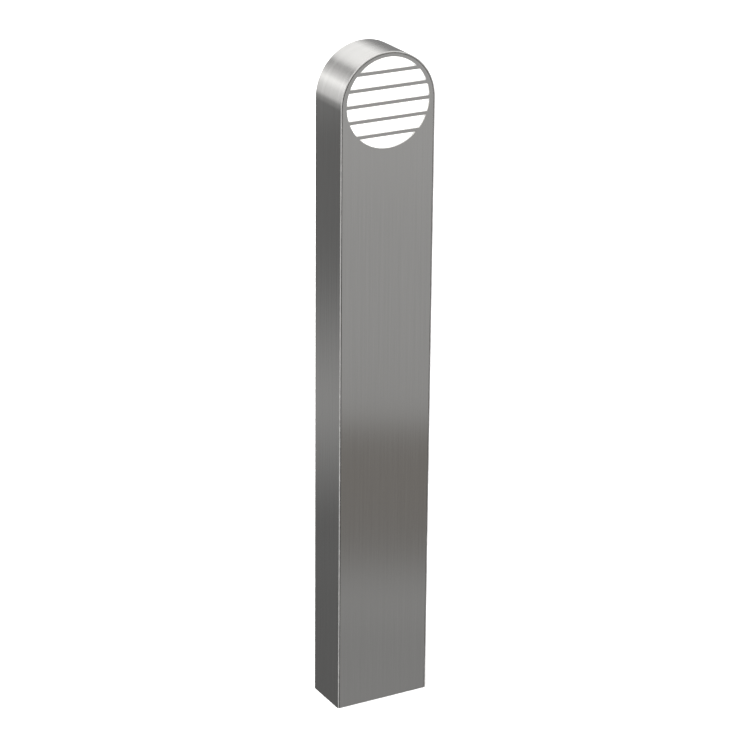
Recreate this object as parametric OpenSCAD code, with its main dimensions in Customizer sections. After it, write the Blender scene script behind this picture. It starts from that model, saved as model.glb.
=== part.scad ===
// Bollard light: a flat upright column of brushed stainless sheet with a half-round head.
// A round louvred window in the head faces -Y, and a screwed service cover closes the rear, +Y.
// Millimetres, +Z up, origin at the centre of the footprint on the ground.

/* [Housing] */
// Overall height
height = 1000; // [800:10:1400]
// Width across the side band
width = 150; // [125:1:200]
// Depth from the front face to the rear face
depth = 75; // [70:1:110]
// Sheet thickness of the side band
band_t = 2; // [1.5:0.5:3]
// Sheet thickness of the front panel and the rear cover
panel_t = 2; // [1.5:0.5:3]
// Open joint between a panel's edge and the band
joint_gap = 0.8; // [0.3:0.1:1]
// Height of the rear cover's lower edge above the ground
cover_lift = 1; // [0.5:0.5:4]

/* [Window] */
// Width of the steel rim between the window and the outer face of the band
window_rim = 9.5; // [6:0.5:14]
// How far the window's centre is above the head's own
window_lift = 2; // [0:0.5:3]
// Number of louvre bars left standing across the window
bar_count = 5; // [1:1:7]
// Height of one bar
bar_h = 5; // [2.5:0.5:6]
// Distance from one bar's middle to the next
bar_pitch = 22.5; // [12:0.5:28]

/* [Lens and lamp tray] */
// Thickness of the opal diffuser
diffuser_t = 3; // [2:0.5:5]
// How far the diffuser laps behind the window's edge
lens_lap = 2; // [2:0.5:4]
// Thickness of the seal between the front panel and the diffuser
window_seal_t = 1.5; // [1:0.5:3]
// Thickness of the seal between the diffuser and the tray's flange
tray_seal_t = 1; // [0.5:0.5:2]
// Sheet thickness of the lamp tray
tray_t = 1; // [0.8:0.1:1.5]
// Air gap between the tray's back and the rear cover
tray_rear_gap = 10; // [9:1:20]
// Length of the flange below the tray, which carries its two nuts
tray_skirt = 24; // [22:1:40]

/* [Lamp and holder] */
// Outside diameter of the porcelain lamp holder
holder_d = 40; // [38:1:44]
// Height of the lamp holder
holder_h = 42; // [40:1:50]
// Height of the bracket's seat above the tray's floor
bracket_h = 18; // [17:1:24]
// Diameter of the lamp's screw cap
cap_d = 26.8; // [26.4:0.1:27]
// Diameter of the lamp's globe
globe_d = 45; // [40:1:50]
// Length of the lamp from contact to crown
lamp_len = 78; // [72:1:85]

/* [Foot] */
// Sheet thickness of the foot channel
foot_t = 4; // [3:0.5:6]
// Height of the foot's side flanges
foot_h = 60; // [52:1:70]
// Distance between anchor holes along the width
anchor_x = 96; // [80:1:100]
// Distance between anchor holes along the depth
anchor_y = 40; // [30:1:42]
// Diameter of the anchor holes
anchor_d = 11; // [9:0.5:12]
// Diameter of the cable entry through the grommet
entry_d = 28; // [20:1:28]

/* [Connection box] */
// Width of the connection box
box_w = 90; // [86:1:96]
// Height of the connection box
box_h = 110; // [104:1:130]
// Depth of the connection box without its lid
box_d = 42; // [38:1:44]
// Wall of the connection box
box_wall = 2.5; // [2:0.5:3]
// Height of the connection box's lower edge above the ground
box_z = 110; // [108:1:160]

/* [Leads] */
// Diameter of the sheathed lamp lead
lead_d = 7; // [6:0.5:7.5]
// Diameter of the earth wire
earth_d = 3.5; // [2.5:0.5:4]

/* [Hidden] */
$fn = 96;

// Housing planes
spring_z = height - width / 2;          // where the sides turn into the head
inner_half = width / 2 - band_t;        // half width inside the band
panel_half = inner_half - joint_gap;    // half width of a panel
front_y = -depth / 2;
front_in = front_y + panel_t;           // back of the front panel
rear_y = depth / 2;
rear_in = rear_y - panel_t;             // inside of the rear cover
window_r = width / 2 - window_rim;
window_z = spring_z + window_lift;
cut = 1;                                // how far a cutter runs past a face

// Lens stack, front to back
lens_half = window_r + window_lift + lens_lap;
lens_foot = 12;                         // straight part of the lens below its round
lens_z = spring_z - lens_half - lens_foot;
seal_hole_r = window_r + 1;             // the window seal's hole, hidden behind the rim
diffuser_y = front_in + window_seal_t;
tray_seal_y = diffuser_y + diffuser_t;
flange_y = tray_seal_y + tray_seal_t;   // front of the tray's flange
tray_half = window_r + window_lift + 0.5;             // half width outside the tray's wall
tray_z = lens_z + 1.5;                  // underside of the tray
tray_floor = tray_z + tray_t;
tray_rear = rear_in - tray_rear_gap;    // back of the tray
tray_inner_rear = tray_rear - tray_t;
flange_edge_gap = 1.2;                  // between the flange's edge and the band
flange_half = inner_half - flange_edge_gap;
flange_z = tray_z - tray_skirt;

// Fixings: thread radius, then nut across flats and height
stud_r = 2;                             // M4
stud_hole_r = 2.3;
m4_af = 7;
m4_h = 3.2;
tray_stud_x = 48;
tray_stud_z = tray_z - 13;
tray_slot = 8;                          // lets the tray drop clear of the crown lug
weld_leg = 3;                           // leg of the tack welds behind the front panel
weld_len = 20;

// Rear lugs and cover screws
lug_w = 14;                             // how far a lug reaches in from the band
lug_len = 22;
lug_t = 2;
screw_inset = 8;                        // from the band's inner face to a screw
screw_x = inner_half - screw_inset;
lug_low_z = 90;
lug_top_z = flange_z - 31;
lug_zs = [lug_low_z, (lug_low_z + lug_top_z) / 2, lug_top_z];
screw_shank_r = 1.95;
screw_head_r = 4;
screw_len = 10;
nut_bore_r = 2.05;
socket_af = 2.5;
socket_deep = 1.4;

// Crown clip, which hooks over the tray's flange
clip_half = 10;
clip_t = 1.5;
clip_lap = 2.8;
clip_len = 12;

// Lamp and holder, on one upright axis in the middle of the tray's depth
lamp_y = (flange_y + tray_inner_rear) / 2;
bracket_t = 1.5;
seat_z = tray_floor + bracket_h;        // the bracket's seat for the holder
holder_base_h = 12;
holder_floor = seat_z + holder_base_h;
holder_rim = seat_z + holder_h;
shell_t = 0.5;
shell_gap = 0.3;                        // between the lamp's cap and the holder's shell
shell_r = cap_d / 2 + shell_gap;        // inside of the threaded shell
holder_bore_r = shell_r + shell_t + 0.1;
tongue_h = 1.5;
contact_gap = 0.3;
contact_z = holder_floor + tongue_h + contact_gap;
insulator_z = contact_z + 1;
cap_z = insulator_z + 1.5;
collar_z = holder_rim + contact_gap;    // where the lamp's body leaves the cap
cap_len = collar_z - cap_z;
globe_z = contact_z + lamp_len - globe_d / 2;
globe_t = 1.2;
globe_cut = 12;                         // the globe's edge below its centre
globe_foot = globe_z - globe_cut;
globe_foot_r = sqrt(pow(globe_d / 2, 2) - pow(globe_cut, 2));
board_t = 1.2;
bracket_w = 40;
bracket_up = 40;
holder_screw_x = 13;
rivet_x = 12;
rivet_z = seat_z + 28;
m3_r = 1.5;

// Glands: thread radius, across flats, hex height, cap height, bore radius
m12 = [6, 15, 4, 10, earth_d / 2 + 0.25];
m16 = [8, 19, 5, 13, lead_d / 2 + 0.25];
m20 = [10, 24, 6, 16, 5.5];
locknut_h = 5;
thread_len = locknut_h + 3.5;           // below the gland's hexagon, through the wall and its nut
tray_gland_x = 50;

// Foot
foot_clear = 0.3;                       // between the foot and the housing
foot_half_x = inner_half - foot_clear;
foot_half_y = depth / 2 - panel_t - 1;
foot_stud_y = 20;
foot_stud_z = 40;
m5_r = 2.5;
m5_hole_r = 2.8;
m5_af = 8;
m5_h = 4;
entry_r = entry_d / 2;
grommet_wall = 4.8;
grommet_lip = 3;
grommet_lip_h = 2;
grommet_clear = 0.2;
foot_hole_r = entry_r + grommet_wall + grommet_clear;

// Gear plate and connection box
spacer_len = 6;
gear_t = 1.5;
gear_y = front_in + spacer_len;
gear_rear = gear_y + gear_t;
gear_w = 110;
gear_edge = 22;                         // how far the plate runs past the box
gear_z0 = box_z - gear_edge;
gear_z1 = box_z + box_h + gear_edge;
gear_stud_x = gear_w / 2 - 8;
gear_stud_zs = [gear_z0 + 8, gear_z1 - 8];
box_mid_z = box_z + box_h / 2;
box_rear = gear_rear + box_d;
box_seal_t = 1;
box_lid_t = 7;
box_lid_y = box_rear + box_seal_t;
box_r = 5;
post_r = 4.5;
post_x = box_w / 2 - box_wall - 4;
post_z = box_h / 2 - box_wall - 4;
box_fix_x = 26;
box_fix_z = 38;
box_gland_y = gear_rear + box_d / 2;
hex_gap = 0.5;                          // between a gland's hexagon and the corner post
supply_gland_x = post_x - post_r - m20[1] / 2 - hex_gap;
lamp_gland_x = post_x - post_r - m16[1] / 2 - hex_gap;
box_glands = [                          // x, size, +1 for the top wall and -1 for the bottom wall
    [-supply_gland_x, m20, -1],
    [0, m12, -1],
    [supply_gland_x, m20, -1],
    [lamp_gland_x, m16, 1],
];
terminal_w = 54;
terminal_d = 18;
terminal_h = 22;
poles = 5;
pole_pitch = 10;

// Earth stud on the foot's left flange
m6_r = 3;
m6_af = 10;
m6_h = 5;
earth_z = 30;
earth_x = -foot_half_x + foot_t;        // inner face of the flange
earth_len = 18;
washer_t = 1.2;
lug_ring_t = 1;

// Routes of the two leads, chosen by hand from the fittings that hold them
clip_zs = [box_z + box_h + 160, box_z + box_h + 300, box_z + box_h + 440];
lead_x = inner_half - 2 - lead_d / 2 - 0.1;
lead_y = box_gland_y;
lamp_route = [
    [lamp_gland_x, box_gland_y, box_z + box_h - 12],
    [lamp_gland_x, box_gland_y, box_z + box_h + 24],
    [lamp_gland_x + 3, lead_y, box_z + box_h + 50],
    [lead_x - 12, lead_y, box_z + box_h + 95],
    [lead_x, lead_y, box_z + box_h + 135],
    [lead_x, lead_y, box_z + box_h + 150],
    [lead_x, lead_y, clip_zs[0]],
    [lead_x, lead_y, clip_zs[1]],
    [lead_x, lead_y, clip_zs[2]],
    [lead_x, lead_y, clip_zs[2] + 25],
    [tray_gland_x + 6, lamp_y - 1, tray_z - 70],
    [tray_gland_x, lamp_y, tray_z - 40],
    [tray_gland_x, lamp_y, tray_z - 18],
    [tray_gland_x, lamp_y, tray_z + 9],
    [tray_gland_x - 1, lamp_y, tray_z + 15],
    [tray_gland_x - 7, lamp_y, tray_z + 20],
    [tray_gland_x - 16, lamp_y, tray_z + 19],
    [tray_gland_x - 24, lamp_y, tray_z + 12],
    [14, lamp_y, tray_z + 7],
    [5, lamp_y, tray_z + 7.5],
    [0.5, lamp_y, tray_z + 12],
    [0, lamp_y, seat_z - 0.2],
];
earth_route = [
    [0, box_gland_y, box_z + 8],
    [0, box_gland_y, box_z - 20],
    [-2, box_gland_y + 1, box_z - 32],
    [-12, box_gland_y + 9, box_z - 45],
    [-24, box_gland_y + 12, box_z - 49],
    [-38, box_gland_y + 11, earth_z + 30],
    [earth_x + 8.5, 0, earth_z + 24],
    [earth_x + 5.5, 0, earth_z + 19],
    [earth_x + 4.5, 0, earth_z + 14],
];

// ---- Shared shapes ----

// A profile drawn in X and Z, made solid from y0 to y1
module slab(y0, y1) {
    translate([0, y1, 0]) rotate([90, 0, 0]) linear_extrude(y1 - y0) children();
}

// The column's outline: straight sides up to the springing line and a half-round head
module arch(half, z0) {
    translate([-half, z0]) square([2 * half, spring_z - z0]);
    translate([0, spring_z]) circle(r = half);
}

// Part of the head's ring, as wide as the given half width
module crown_ring(r0, r1, half) {
    intersection() {
        difference() {
            translate([0, spring_z]) circle(r = r1);
            translate([0, spring_z]) circle(r = r0);
        }
        translate([-half, spring_z]) square([2 * half, r1 + cut]);
    }
}

module rounded(w, h, r) {
    square([w - 2 * r, h], center = true);
    square([w, h - 2 * r], center = true);
    for (x = [-1, 1], z = [-1, 1])
        translate([x * (w / 2 - r), z * (h / 2 - r)]) circle(r = r);
}

module both_sides() {
    children();
    mirror([1, 0, 0]) children();
}

// A rod along +Y or +X from the origin
module rod_y(r, len) { rotate([-90, 0, 0]) cylinder(r = r, h = len); }
module rod_x(r, len) { rotate([0, 90, 0]) cylinder(r = r, h = len); }

// A hexagon bar along +Z, measured across flats, with a flat facing X
module hexagon(af, h) { rotate([0, 0, 30]) cylinder(r = af / sqrt(3), h = h, $fn = 6); }

// A hexagon nut along +Z with a clear bore
module hex_nut(af, h, bore_r) {
    difference() {
        hexagon(af, h);
        translate([0, 0, -cut]) cylinder(r = bore_r, h = h + 2 * cut);
    }
}

// A round tube through a list of points, closed at both ends
function unit(v) = v / norm(v);
function heading(p, i) = unit(p[min(i + 1, len(p) - 1)] - p[max(i - 1, 0)]);
function spline(a, b, c, d, t) = 0.5 * ((2 * b) + (c - a) * t
    + (2 * a - 5 * b + 4 * c - d) * t * t + (3 * b - a - 3 * c + d) * t * t * t);
function smooth_path(p, steps) = [
    for (i = [0 : len(p) - 2], s = [0 : steps - 1])
        spline(p[max(i - 1, 0)], p[i], p[i + 1], p[min(i + 2, len(p) - 1)], s / steps),
    p[len(p) - 1],
];
function side_of(t) = unit(cross(t, abs(t[1]) < 0.9 ? [0, 1, 0] : [1, 0, 0]));
module tube(path, r, sides) {
    rings = len(path);
    points = [
        for (i = [0 : rings - 1])
            let (t = heading(path, i), u = side_of(t), v = cross(t, u))
                for (k = [0 : sides - 1])
                    path[i] + r * (cos(360 * k / sides) * u + sin(360 * k / sides) * v),
    ];
    walls = [
        for (i = [0 : rings - 2], k = [0 : sides - 1], half = [0, 1])
            let (k1 = (k + 1) % sides, a = i * sides, b = a + sides)
                half == 0 ? [a + k, b + k, a + k1] : [a + k1, b + k, b + k1],
    ];
    polyhedron(points, concat(
        walls,
        [[for (k = [0 : sides - 1]) k]],
        [[for (k = [sides - 1 : -1 : 0]) (rings - 1) * sides + k]]));
}

// ---- Housing ----

module side_band() {
    color("silver") slab(front_y, rear_y) difference() {
        arch(width / 2, 0);
        arch(inner_half, -cut);
    }
}

module window() {
    difference() {
        translate([0, window_z]) circle(r = window_r);
        for (i = [0 : bar_count - 1])
            translate([-width / 2, window_z + (i - (bar_count - 1) / 2) * bar_pitch - bar_h / 2])
                square([width, bar_h]);
    }
}

module front_panel() {
    color("silver") slab(front_y, front_in) difference() {
        arch(panel_half, 0);
        window();
    }
}

// Tack welds in the corner between the front panel's back and the band
module weld_beads() {
    color("gray") {
        both_sides() for (z = [spring_z / 6 : spring_z / 6 : spring_z - weld_len])
            translate([0, 0, z - weld_len / 2]) linear_extrude(weld_len) bead_profile();
        for (a = [20, 80, 140])
            translate([0, 0, spring_z]) rotate([-90, 0, 0]) rotate([0, 0, -a - 20])
                rotate_extrude(angle = 20) polygon([
                    [inner_half, front_in], [inner_half - weld_leg, front_in],
                    [inner_half, front_in + weld_leg]]);
    }
}

module bead_profile() {
    polygon([
        [inner_half, front_in],
        [inner_half - weld_leg, front_in],
        [inner_half, front_in + weld_leg],
    ]);
}

// Weld studs on the back of the front panel: two for the tray, four for the gear plate
module panel_studs() {
    color("lightgray") {
        both_sides() translate([tray_stud_x, front_in, tray_stud_z])
            rod_y(stud_r, flange_y + tray_t + m4_h + 2 - front_in);
        both_sides() for (z = gear_stud_zs)
            translate([gear_stud_x, front_in, z])
                rod_y(stud_r, spacer_len + gear_t + m4_h + 2);
    }
}

module crown_clip() {
    lip_y = flange_y + tray_t;
    color("silver") {
        slab(lip_y, lip_y + clip_t) crown_ring(flange_half - clip_lap, inner_half, clip_half);
        slab(lip_y, lip_y + clip_len) crown_ring(inner_half - clip_t, inner_half, clip_half);
    }
}

// ---- Rear cover and its lugs ----

module rear_lugs() {
    color("silver") {
        both_sides() for (z = lug_zs) difference() {
            translate([inner_half - lug_w, rear_in - lug_w, z - lug_len / 2])
                cube([lug_w, lug_w, lug_len]);
            translate([inner_half - lug_w - cut, rear_in - lug_w - cut, z - lug_len / 2 - cut])
                cube([lug_w - lug_t + cut, lug_w - lug_t + cut, lug_len + 2 * cut]);
            translate([screw_x, rear_in - lug_t - cut, z]) rod_y(stud_hole_r, lug_t + 2 * cut);
        }
        slab(rear_in - lug_w, rear_in) crown_ring(inner_half - lug_t, inner_half, lug_len / 2);
        difference() {
            slab(rear_in - lug_t, rear_in) crown_ring(inner_half - lug_w, inner_half, lug_len / 2);
            translate([0, rear_in - lug_t - cut, spring_z + screw_x]) rod_y(stud_hole_r, lug_t + 2 * cut);
        }
    }
}

// Runs its children at each cover screw, with Y pointing out of the rear
module at_cover_screws() {
    both_sides() for (z = lug_zs) translate([screw_x, 0, z]) children();
    translate([0, 0, spring_z + screw_x]) children();
}

module lug_nuts() {
    color("lightgray") at_cover_screws() translate([0, rear_in - lug_t, 0])
        rotate([90, 0, 0]) hex_nut(m4_af, m4_h, nut_bore_r);
}

module rear_cover() {
    color("silver") difference() {
        slab(rear_in, rear_y) arch(panel_half, cover_lift);
        at_cover_screws() translate([0, rear_in - cut, 0]) rod_y(stud_hole_r, panel_t + 2 * cut);
        at_cover_screws() countersink(0);
    }
}

// The 90 degree cone that a screw head sits in, shrunk by a clearance
module countersink(clear) {
    translate([0, rear_y - screw_head_r, 0]) rotate([-90, 0, 0])
        cylinder(r1 = 0, r2 = screw_head_r - clear, h = screw_head_r - clear);
}

module cover_screws() {
    head_clear = 0.1;
    color("lightgray") at_cover_screws() difference() {
        union() {
            translate([0, rear_y - screw_len, 0]) rod_y(screw_shank_r, screw_len - 1);
            intersection() {
                countersink(head_clear);
                translate([0, rear_in - cut, 0]) rod_y(screw_head_r, panel_t + 2 * cut);
            }
        }
        translate([0, rear_y - head_clear - socket_deep, 0]) rotate([-90, 0, 0])
            cylinder(r = socket_af / sqrt(3), h = socket_deep + cut, $fn = 6);
    }
}

// ---- Lens and lamp tray ----

module window_seal() {
    color("dimgray") slab(front_in, diffuser_y) difference() {
        arch(lens_half, lens_z);
        translate([0, window_z]) circle(r = seal_hole_r);
    }
}

module diffuser() {
    color("white") slab(diffuser_y, tray_seal_y) arch(lens_half, lens_z);
}

module tray_seal() {
    color("dimgray") slab(tray_seal_y, flange_y) difference() {
        arch(lens_half, lens_z);
        arch(tray_half - tray_t, tray_floor);
    }
}

module lamp_tray() {
    color("whitesmoke") difference() {
        union() {
            slab(flange_y, tray_rear) arch(tray_half, tray_z);
            slab(flange_y, flange_y + tray_t) arch(flange_half, flange_z);
        }
        slab(flange_y - cut, tray_inner_rear) arch(tray_half - tray_t, tray_floor);
        both_sides() slab(flange_y - cut, flange_y + tray_t + cut)
            translate([tray_stud_x, tray_stud_z]) {
                circle(r = stud_hole_r);
                translate([-stud_hole_r, 0]) square([2 * stud_hole_r, tray_slot - stud_hole_r]);
                translate([0, tray_slot - stud_hole_r]) circle(r = stud_hole_r);
            }
        translate([tray_gland_x, lamp_y, tray_z - cut]) cylinder(r = m16[0] + 0.2, h = tray_t + 2 * cut);
        at_bracket_rivets() translate([0, -cut, 0]) rod_y(1.7, tray_t + 2 * cut);
    }
}

module tray_nuts() {
    color("lightgray") both_sides() translate([tray_stud_x, flange_y + tray_t, tray_stud_z])
        rotate([-90, 0, 0]) flange_nut(m4_af, m4_h, nut_bore_r, 5);
}

// A hexagon nut on a round flange, along +Z
module flange_nut(af, h, bore_r, flange_r) {
    flange_h = 1;
    difference() {
        union() {
            cylinder(r = flange_r, h = flange_h);
            hexagon(af, h);
        }
        translate([0, 0, -cut]) cylinder(r = bore_r, h = h + 2 * cut);
    }
}

// ---- Lamp holder on its bracket ----

module at_bracket_rivets() {
    both_sides() translate([rivet_x, tray_inner_rear, rivet_z]) children();
}

module holder_bracket() {
    seat_front = lamp_y - holder_d / 2 + 3;
    color("lightgray") difference() {
        union() {
            translate([-bracket_w / 2, seat_front, seat_z - bracket_t])
                cube([bracket_w, tray_inner_rear - seat_front, bracket_t]);
            translate([-bracket_w / 2, tray_inner_rear - bracket_t, seat_z - bracket_t])
                cube([bracket_w, bracket_t, bracket_up + bracket_t]);
        }
        translate([0, lamp_y, seat_z - bracket_t - cut])
            cylinder(r = lead_d / 2 + 1.5, h = bracket_t + 2 * cut);
        both_sides() translate([holder_screw_x, lamp_y, seat_z - bracket_t - cut])
            cylinder(r = m3_r + 0.2, h = bracket_t + 2 * cut);
        at_bracket_rivets() translate([0, -bracket_t - cut, 0]) rod_y(1.7, bracket_t + 2 * cut);
    }
}

module bracket_rivets() {
    head_r = 3.2;
    head_h = 1;
    tail_h = 1.5;
    color("lightgray") at_bracket_rivets() {
        translate([0, -bracket_t - head_h, 0]) rod_y(head_r, head_h);
        translate([0, -bracket_t - head_h, 0]) rod_y(1.6, head_h + bracket_t + tray_t + tail_h);
        translate([0, tray_t, 0]) rod_y(2.5, tail_h);
    }
}

module lamp_holder() {
    chamfer = 2;
    color("ivory") difference() {
        translate([0, lamp_y, seat_z]) rotate_extrude() polygon([
            [0, 0], [holder_d / 2, 0], [holder_d / 2, holder_base_h],
            [holder_d / 2 - 1, holder_base_h + 1], [holder_d / 2 - 1, holder_h - chamfer],
            [holder_d / 2 - 1 - chamfer, holder_h], [0, holder_h],
        ]);
        translate([0, lamp_y, holder_floor]) cylinder(r = holder_bore_r, h = holder_h);
        both_sides() translate([holder_screw_x, lamp_y, seat_z - cut]) cylinder(r = m3_r + 0.05, h = 8 + cut);
    }
}

module holder_shell() {
    color("gold") translate([0, lamp_y, holder_floor]) difference() {
        cylinder(r = shell_r + shell_t, h = holder_h - holder_base_h - 2);
        translate([0, 0, -cut]) cylinder(r = shell_r, h = holder_h);
    }
}

module holder_contact() {
    color("gold") translate([0, lamp_y, holder_floor]) cylinder(r = 3, h = tongue_h);
}

module holder_screws() {
    color("lightgray") both_sides() translate([holder_screw_x, lamp_y, seat_z - bracket_t]) {
        cylinder(r = m3_r, h = bracket_t + 7);
        translate([0, 0, -2]) cylinder(r = 2.8, h = 2);
    }
}

// ---- Lamp ----

module lamp_cap() {
    color("silver") translate([0, lamp_y, cap_z]) cylinder(r = cap_d / 2, h = cap_len);
}

module lamp_insulator() {
    color("black") translate([0, lamp_y, insulator_z])
        cylinder(r1 = 6, r2 = cap_d / 2 - 1, h = cap_z - insulator_z);
}

module lamp_contact() {
    color("silver") translate([0, lamp_y, contact_z]) cylinder(r = 4.5, h = insulator_z - contact_z);
}

module lamp_body() {
    color("white") translate([0, lamp_y, collar_z]) rotate_extrude() polygon([
        [0, 0], [cap_d / 2, 0], [cap_d / 2 + 2, 2],
        [globe_foot_r + 0.6, globe_foot - collar_z - 2],
        [globe_foot_r + 0.6, globe_foot - collar_z], [0, globe_foot - collar_z],
    ]);
}

module lamp_globe() {
    color("white") translate([0, lamp_y, globe_z]) difference() {
        sphere(r = globe_d / 2);
        sphere(r = globe_d / 2 - globe_t);
        translate([-globe_d, -globe_d, -globe_cut - globe_d]) cube([2 * globe_d, 2 * globe_d, globe_d]);
    }
}

module led_board() {
    color("palegreen") translate([0, lamp_y, globe_foot]) cylinder(r = globe_foot_r - 4, h = board_t);
}

// ---- Cable glands. Each stands on its wall with +Z pointing out of the box ----

module gland_body(g) {
    color("dimgray") difference() {
        union() {
            translate([0, 0, -thread_len]) cylinder(r = g[0], h = thread_len + g[2] / 2);
            hexagon(g[1], g[2]);
            translate([0, 0, g[2] / 2]) cylinder(r = g[0] - 0.3, h = g[2] / 2 + g[3] / 2);
        }
        translate([0, 0, -thread_len - cut]) cylinder(r = g[4], h = thread_len + g[2] + g[3] + cut);
    }
}

module gland_cap(g) {
    skirt = g[3] - 2;
    color("dimgray") translate([0, 0, g[2]]) difference() {
        union() {
            hexagon(g[1] - 1, skirt);
            rotate_extrude() polygon([
                [0, skirt - 1], [g[1] / 2 - 0.6, skirt - 1], [g[1] / 2 - 0.6, skirt],
                [g[0] - 1.2, g[3]], [0, g[3]],
            ]);
        }
        translate([0, 0, -cut]) cylinder(r = g[0], h = g[3] / 2 + 3 + cut);
        translate([0, 0, -cut]) cylinder(r = g[4], h = g[3] + 2 * cut);
    }
}

module gland_seal(g) {
    color("black") translate([0, 0, g[2] + g[3] / 2]) difference() {
        cylinder(r = g[0] - 0.4, h = 2.9);
        translate([0, 0, -cut]) cylinder(r = g[4], h = 2.9 + 2 * cut);
    }
}

module gland_locknut(g, wall) {
    color("dimgray") translate([0, 0, -wall - locknut_h]) hex_nut(g[1], locknut_h, g[0] + 0.1);
}

module at_tray_gland() {
    translate([tray_gland_x, lamp_y, tray_z]) rotate([180, 0, 0]) children();
}

module at_box_gland(g) {
    translate([g[0], box_gland_y, g[2] > 0 ? box_z + box_h : box_z])
        rotate([g[2] > 0 ? 0 : 180, 0, 0]) children();
}

module tray_gland_body() { at_tray_gland() gland_body(m16); }
module tray_gland_cap() { at_tray_gland() gland_cap(m16); }
module tray_gland_nut() { at_tray_gland() gland_locknut(m16, tray_t); }
module box_gland_bodies() { for (g = box_glands) at_box_gland(g) gland_body(g[1]); }
module box_gland_caps() { for (g = box_glands) at_box_gland(g) gland_cap(g[1]); }
module box_gland_nuts() { for (g = box_glands) at_box_gland(g) gland_locknut(g[1], box_wall); }
module gland_seals() {
    at_tray_gland() gland_seal(m16);
    for (g = box_glands) at_box_gland(g) gland_seal(g[1]);
}

// ---- Foot ----

module foot_channel() {
    color("gray") difference() {
        translate([-foot_half_x, -foot_half_y, 0]) cube([2 * foot_half_x, 2 * foot_half_y, foot_h]);
        translate([-foot_half_x + foot_t, -foot_half_y - cut, foot_t])
            cube([2 * (foot_half_x - foot_t), 2 * (foot_half_y + cut), foot_h]);
        for (x = [-1, 1], y = [-1, 1]) {
            translate([x * anchor_x / 2, y * anchor_y / 2, -cut]) cylinder(d = anchor_d, h = foot_t + 2 * cut);
            translate([-foot_half_x - cut, y * foot_stud_y, foot_stud_z])
                rod_x(m5_hole_r, 2 * (foot_half_x + cut));
        }
        translate([0, 0, -cut]) cylinder(r = foot_hole_r, h = foot_t + 2 * cut);
    }
}

// Weld studs on the band's inner faces, which pass through the foot's flanges
module foot_studs() {
    color("lightgray") both_sides() for (y = [-1, 1])
        translate([inner_half, y * foot_stud_y, foot_stud_z]) mirror([1, 0, 0])
            rod_x(m5_r, foot_clear + foot_t + m5_h + 2);
}

module foot_nuts() {
    color("lightgray") both_sides() for (y = [-1, 1])
        translate([foot_half_x - foot_t, y * foot_stud_y, foot_stud_z]) rotate([0, -90, 0])
            flange_nut(m5_af, m5_h, m5_r + 0.05, 5.5);
}

module cable_grommet() {
    color("black") rotate_extrude() polygon([
        [entry_r, 0], [entry_r + grommet_wall, 0], [entry_r + grommet_wall, foot_t],
        [entry_r + grommet_wall + grommet_lip, foot_t],
        [entry_r + grommet_wall + grommet_lip, foot_t + grommet_lip_h],
        [entry_r, foot_t + grommet_lip_h],
    ]);
}

// ---- Gear plate and connection box ----

module gear_plate() {
    corner_r = 6;
    color("lightgray") slab(gear_y, gear_rear) difference() {
        translate([0, (gear_z0 + gear_z1) / 2]) rounded(gear_w, gear_z1 - gear_z0, corner_r);
        for (x = [-1, 1], z = gear_stud_zs) translate([x * gear_stud_x, z]) circle(r = stud_hole_r);
        for (x = [-1, 1], z = [-1, 1])
            translate([x * box_fix_x, box_mid_z + z * box_fix_z]) circle(r = 1.9);
    }
}

module gear_spacers() {
    color("lightgray") both_sides() for (z = gear_stud_zs)
        translate([gear_stud_x, front_in, z]) difference() {
            rod_y(4, spacer_len);
            translate([0, -cut, 0]) rod_y(stud_hole_r, spacer_len + 2 * cut);
        }
}

module gear_nuts() {
    color("lightgray") both_sides() for (z = gear_stud_zs)
        translate([gear_stud_x, gear_rear, z]) rotate([-90, 0, 0]) flange_nut(m4_af, m4_h, nut_bore_r, 5);
}

// Draws its children at the box's four corners, given as half distances from its middle
module at_corners(half_x, half_z) {
    for (x = [-1, 1], z = [-1, 1]) translate([x * half_x, 0, box_mid_z + z * half_z]) children();
}

module box_base() {
    color("lightsteelblue") difference() {
        union() {
            difference() {
                slab(gear_rear, box_rear) translate([0, box_mid_z]) rounded(box_w, box_h, box_r);
                slab(gear_rear + box_wall, box_rear + cut) translate([0, box_mid_z])
                    rounded(box_w - 2 * box_wall, box_h - 2 * box_wall, box_r - box_wall);
            }
            at_corners(post_x, post_z) translate([0, gear_rear, 0]) rod_y(post_r, box_d);
        }
        at_corners(post_x, post_z) translate([0, box_rear - 14, 0]) rod_y(m3_r + 0.05, 14 + cut);
        at_corners(box_fix_x, box_fix_z) translate([0, gear_rear - cut, 0]) rod_y(2.2, box_wall + 2 * cut);
        for (g = box_glands) at_box_gland(g) translate([0, 0, -box_wall - cut])
            cylinder(r = g[1][0] + 0.2, h = box_wall + 2 * cut);
    }
}

module box_seal() {
    color("dimgray") slab(box_rear, box_lid_y) translate([0, box_mid_z]) difference() {
        rounded(box_w, box_h, box_r);
        rounded(box_w - 2 * box_wall, box_h - 2 * box_wall, box_r - box_wall);
    }
}

module box_lid() {
    rim = box_lid_t - box_wall;
    color("lightsteelblue") difference() {
        slab(box_lid_y, box_lid_y + box_lid_t) translate([0, box_mid_z]) rounded(box_w, box_h, box_r);
        slab(box_lid_y - cut, box_lid_y + rim) translate([0, box_mid_z]) difference() {
            rounded(box_w - 2 * box_wall, box_h - 2 * box_wall, box_r - box_wall);
            for (x = [-1, 1], z = [-1, 1]) translate([x * post_x, z * post_z]) circle(r = post_r);
        }
        at_corners(post_x, post_z) translate([0, box_lid_y - cut, 0]) rod_y(m3_r + 0.2, box_lid_t + 2 * cut);
        at_corners(post_x, post_z) translate([0, box_lid_y + box_lid_t - 2, 0]) rod_y(3.2, 2 + cut);
    }
}

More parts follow.
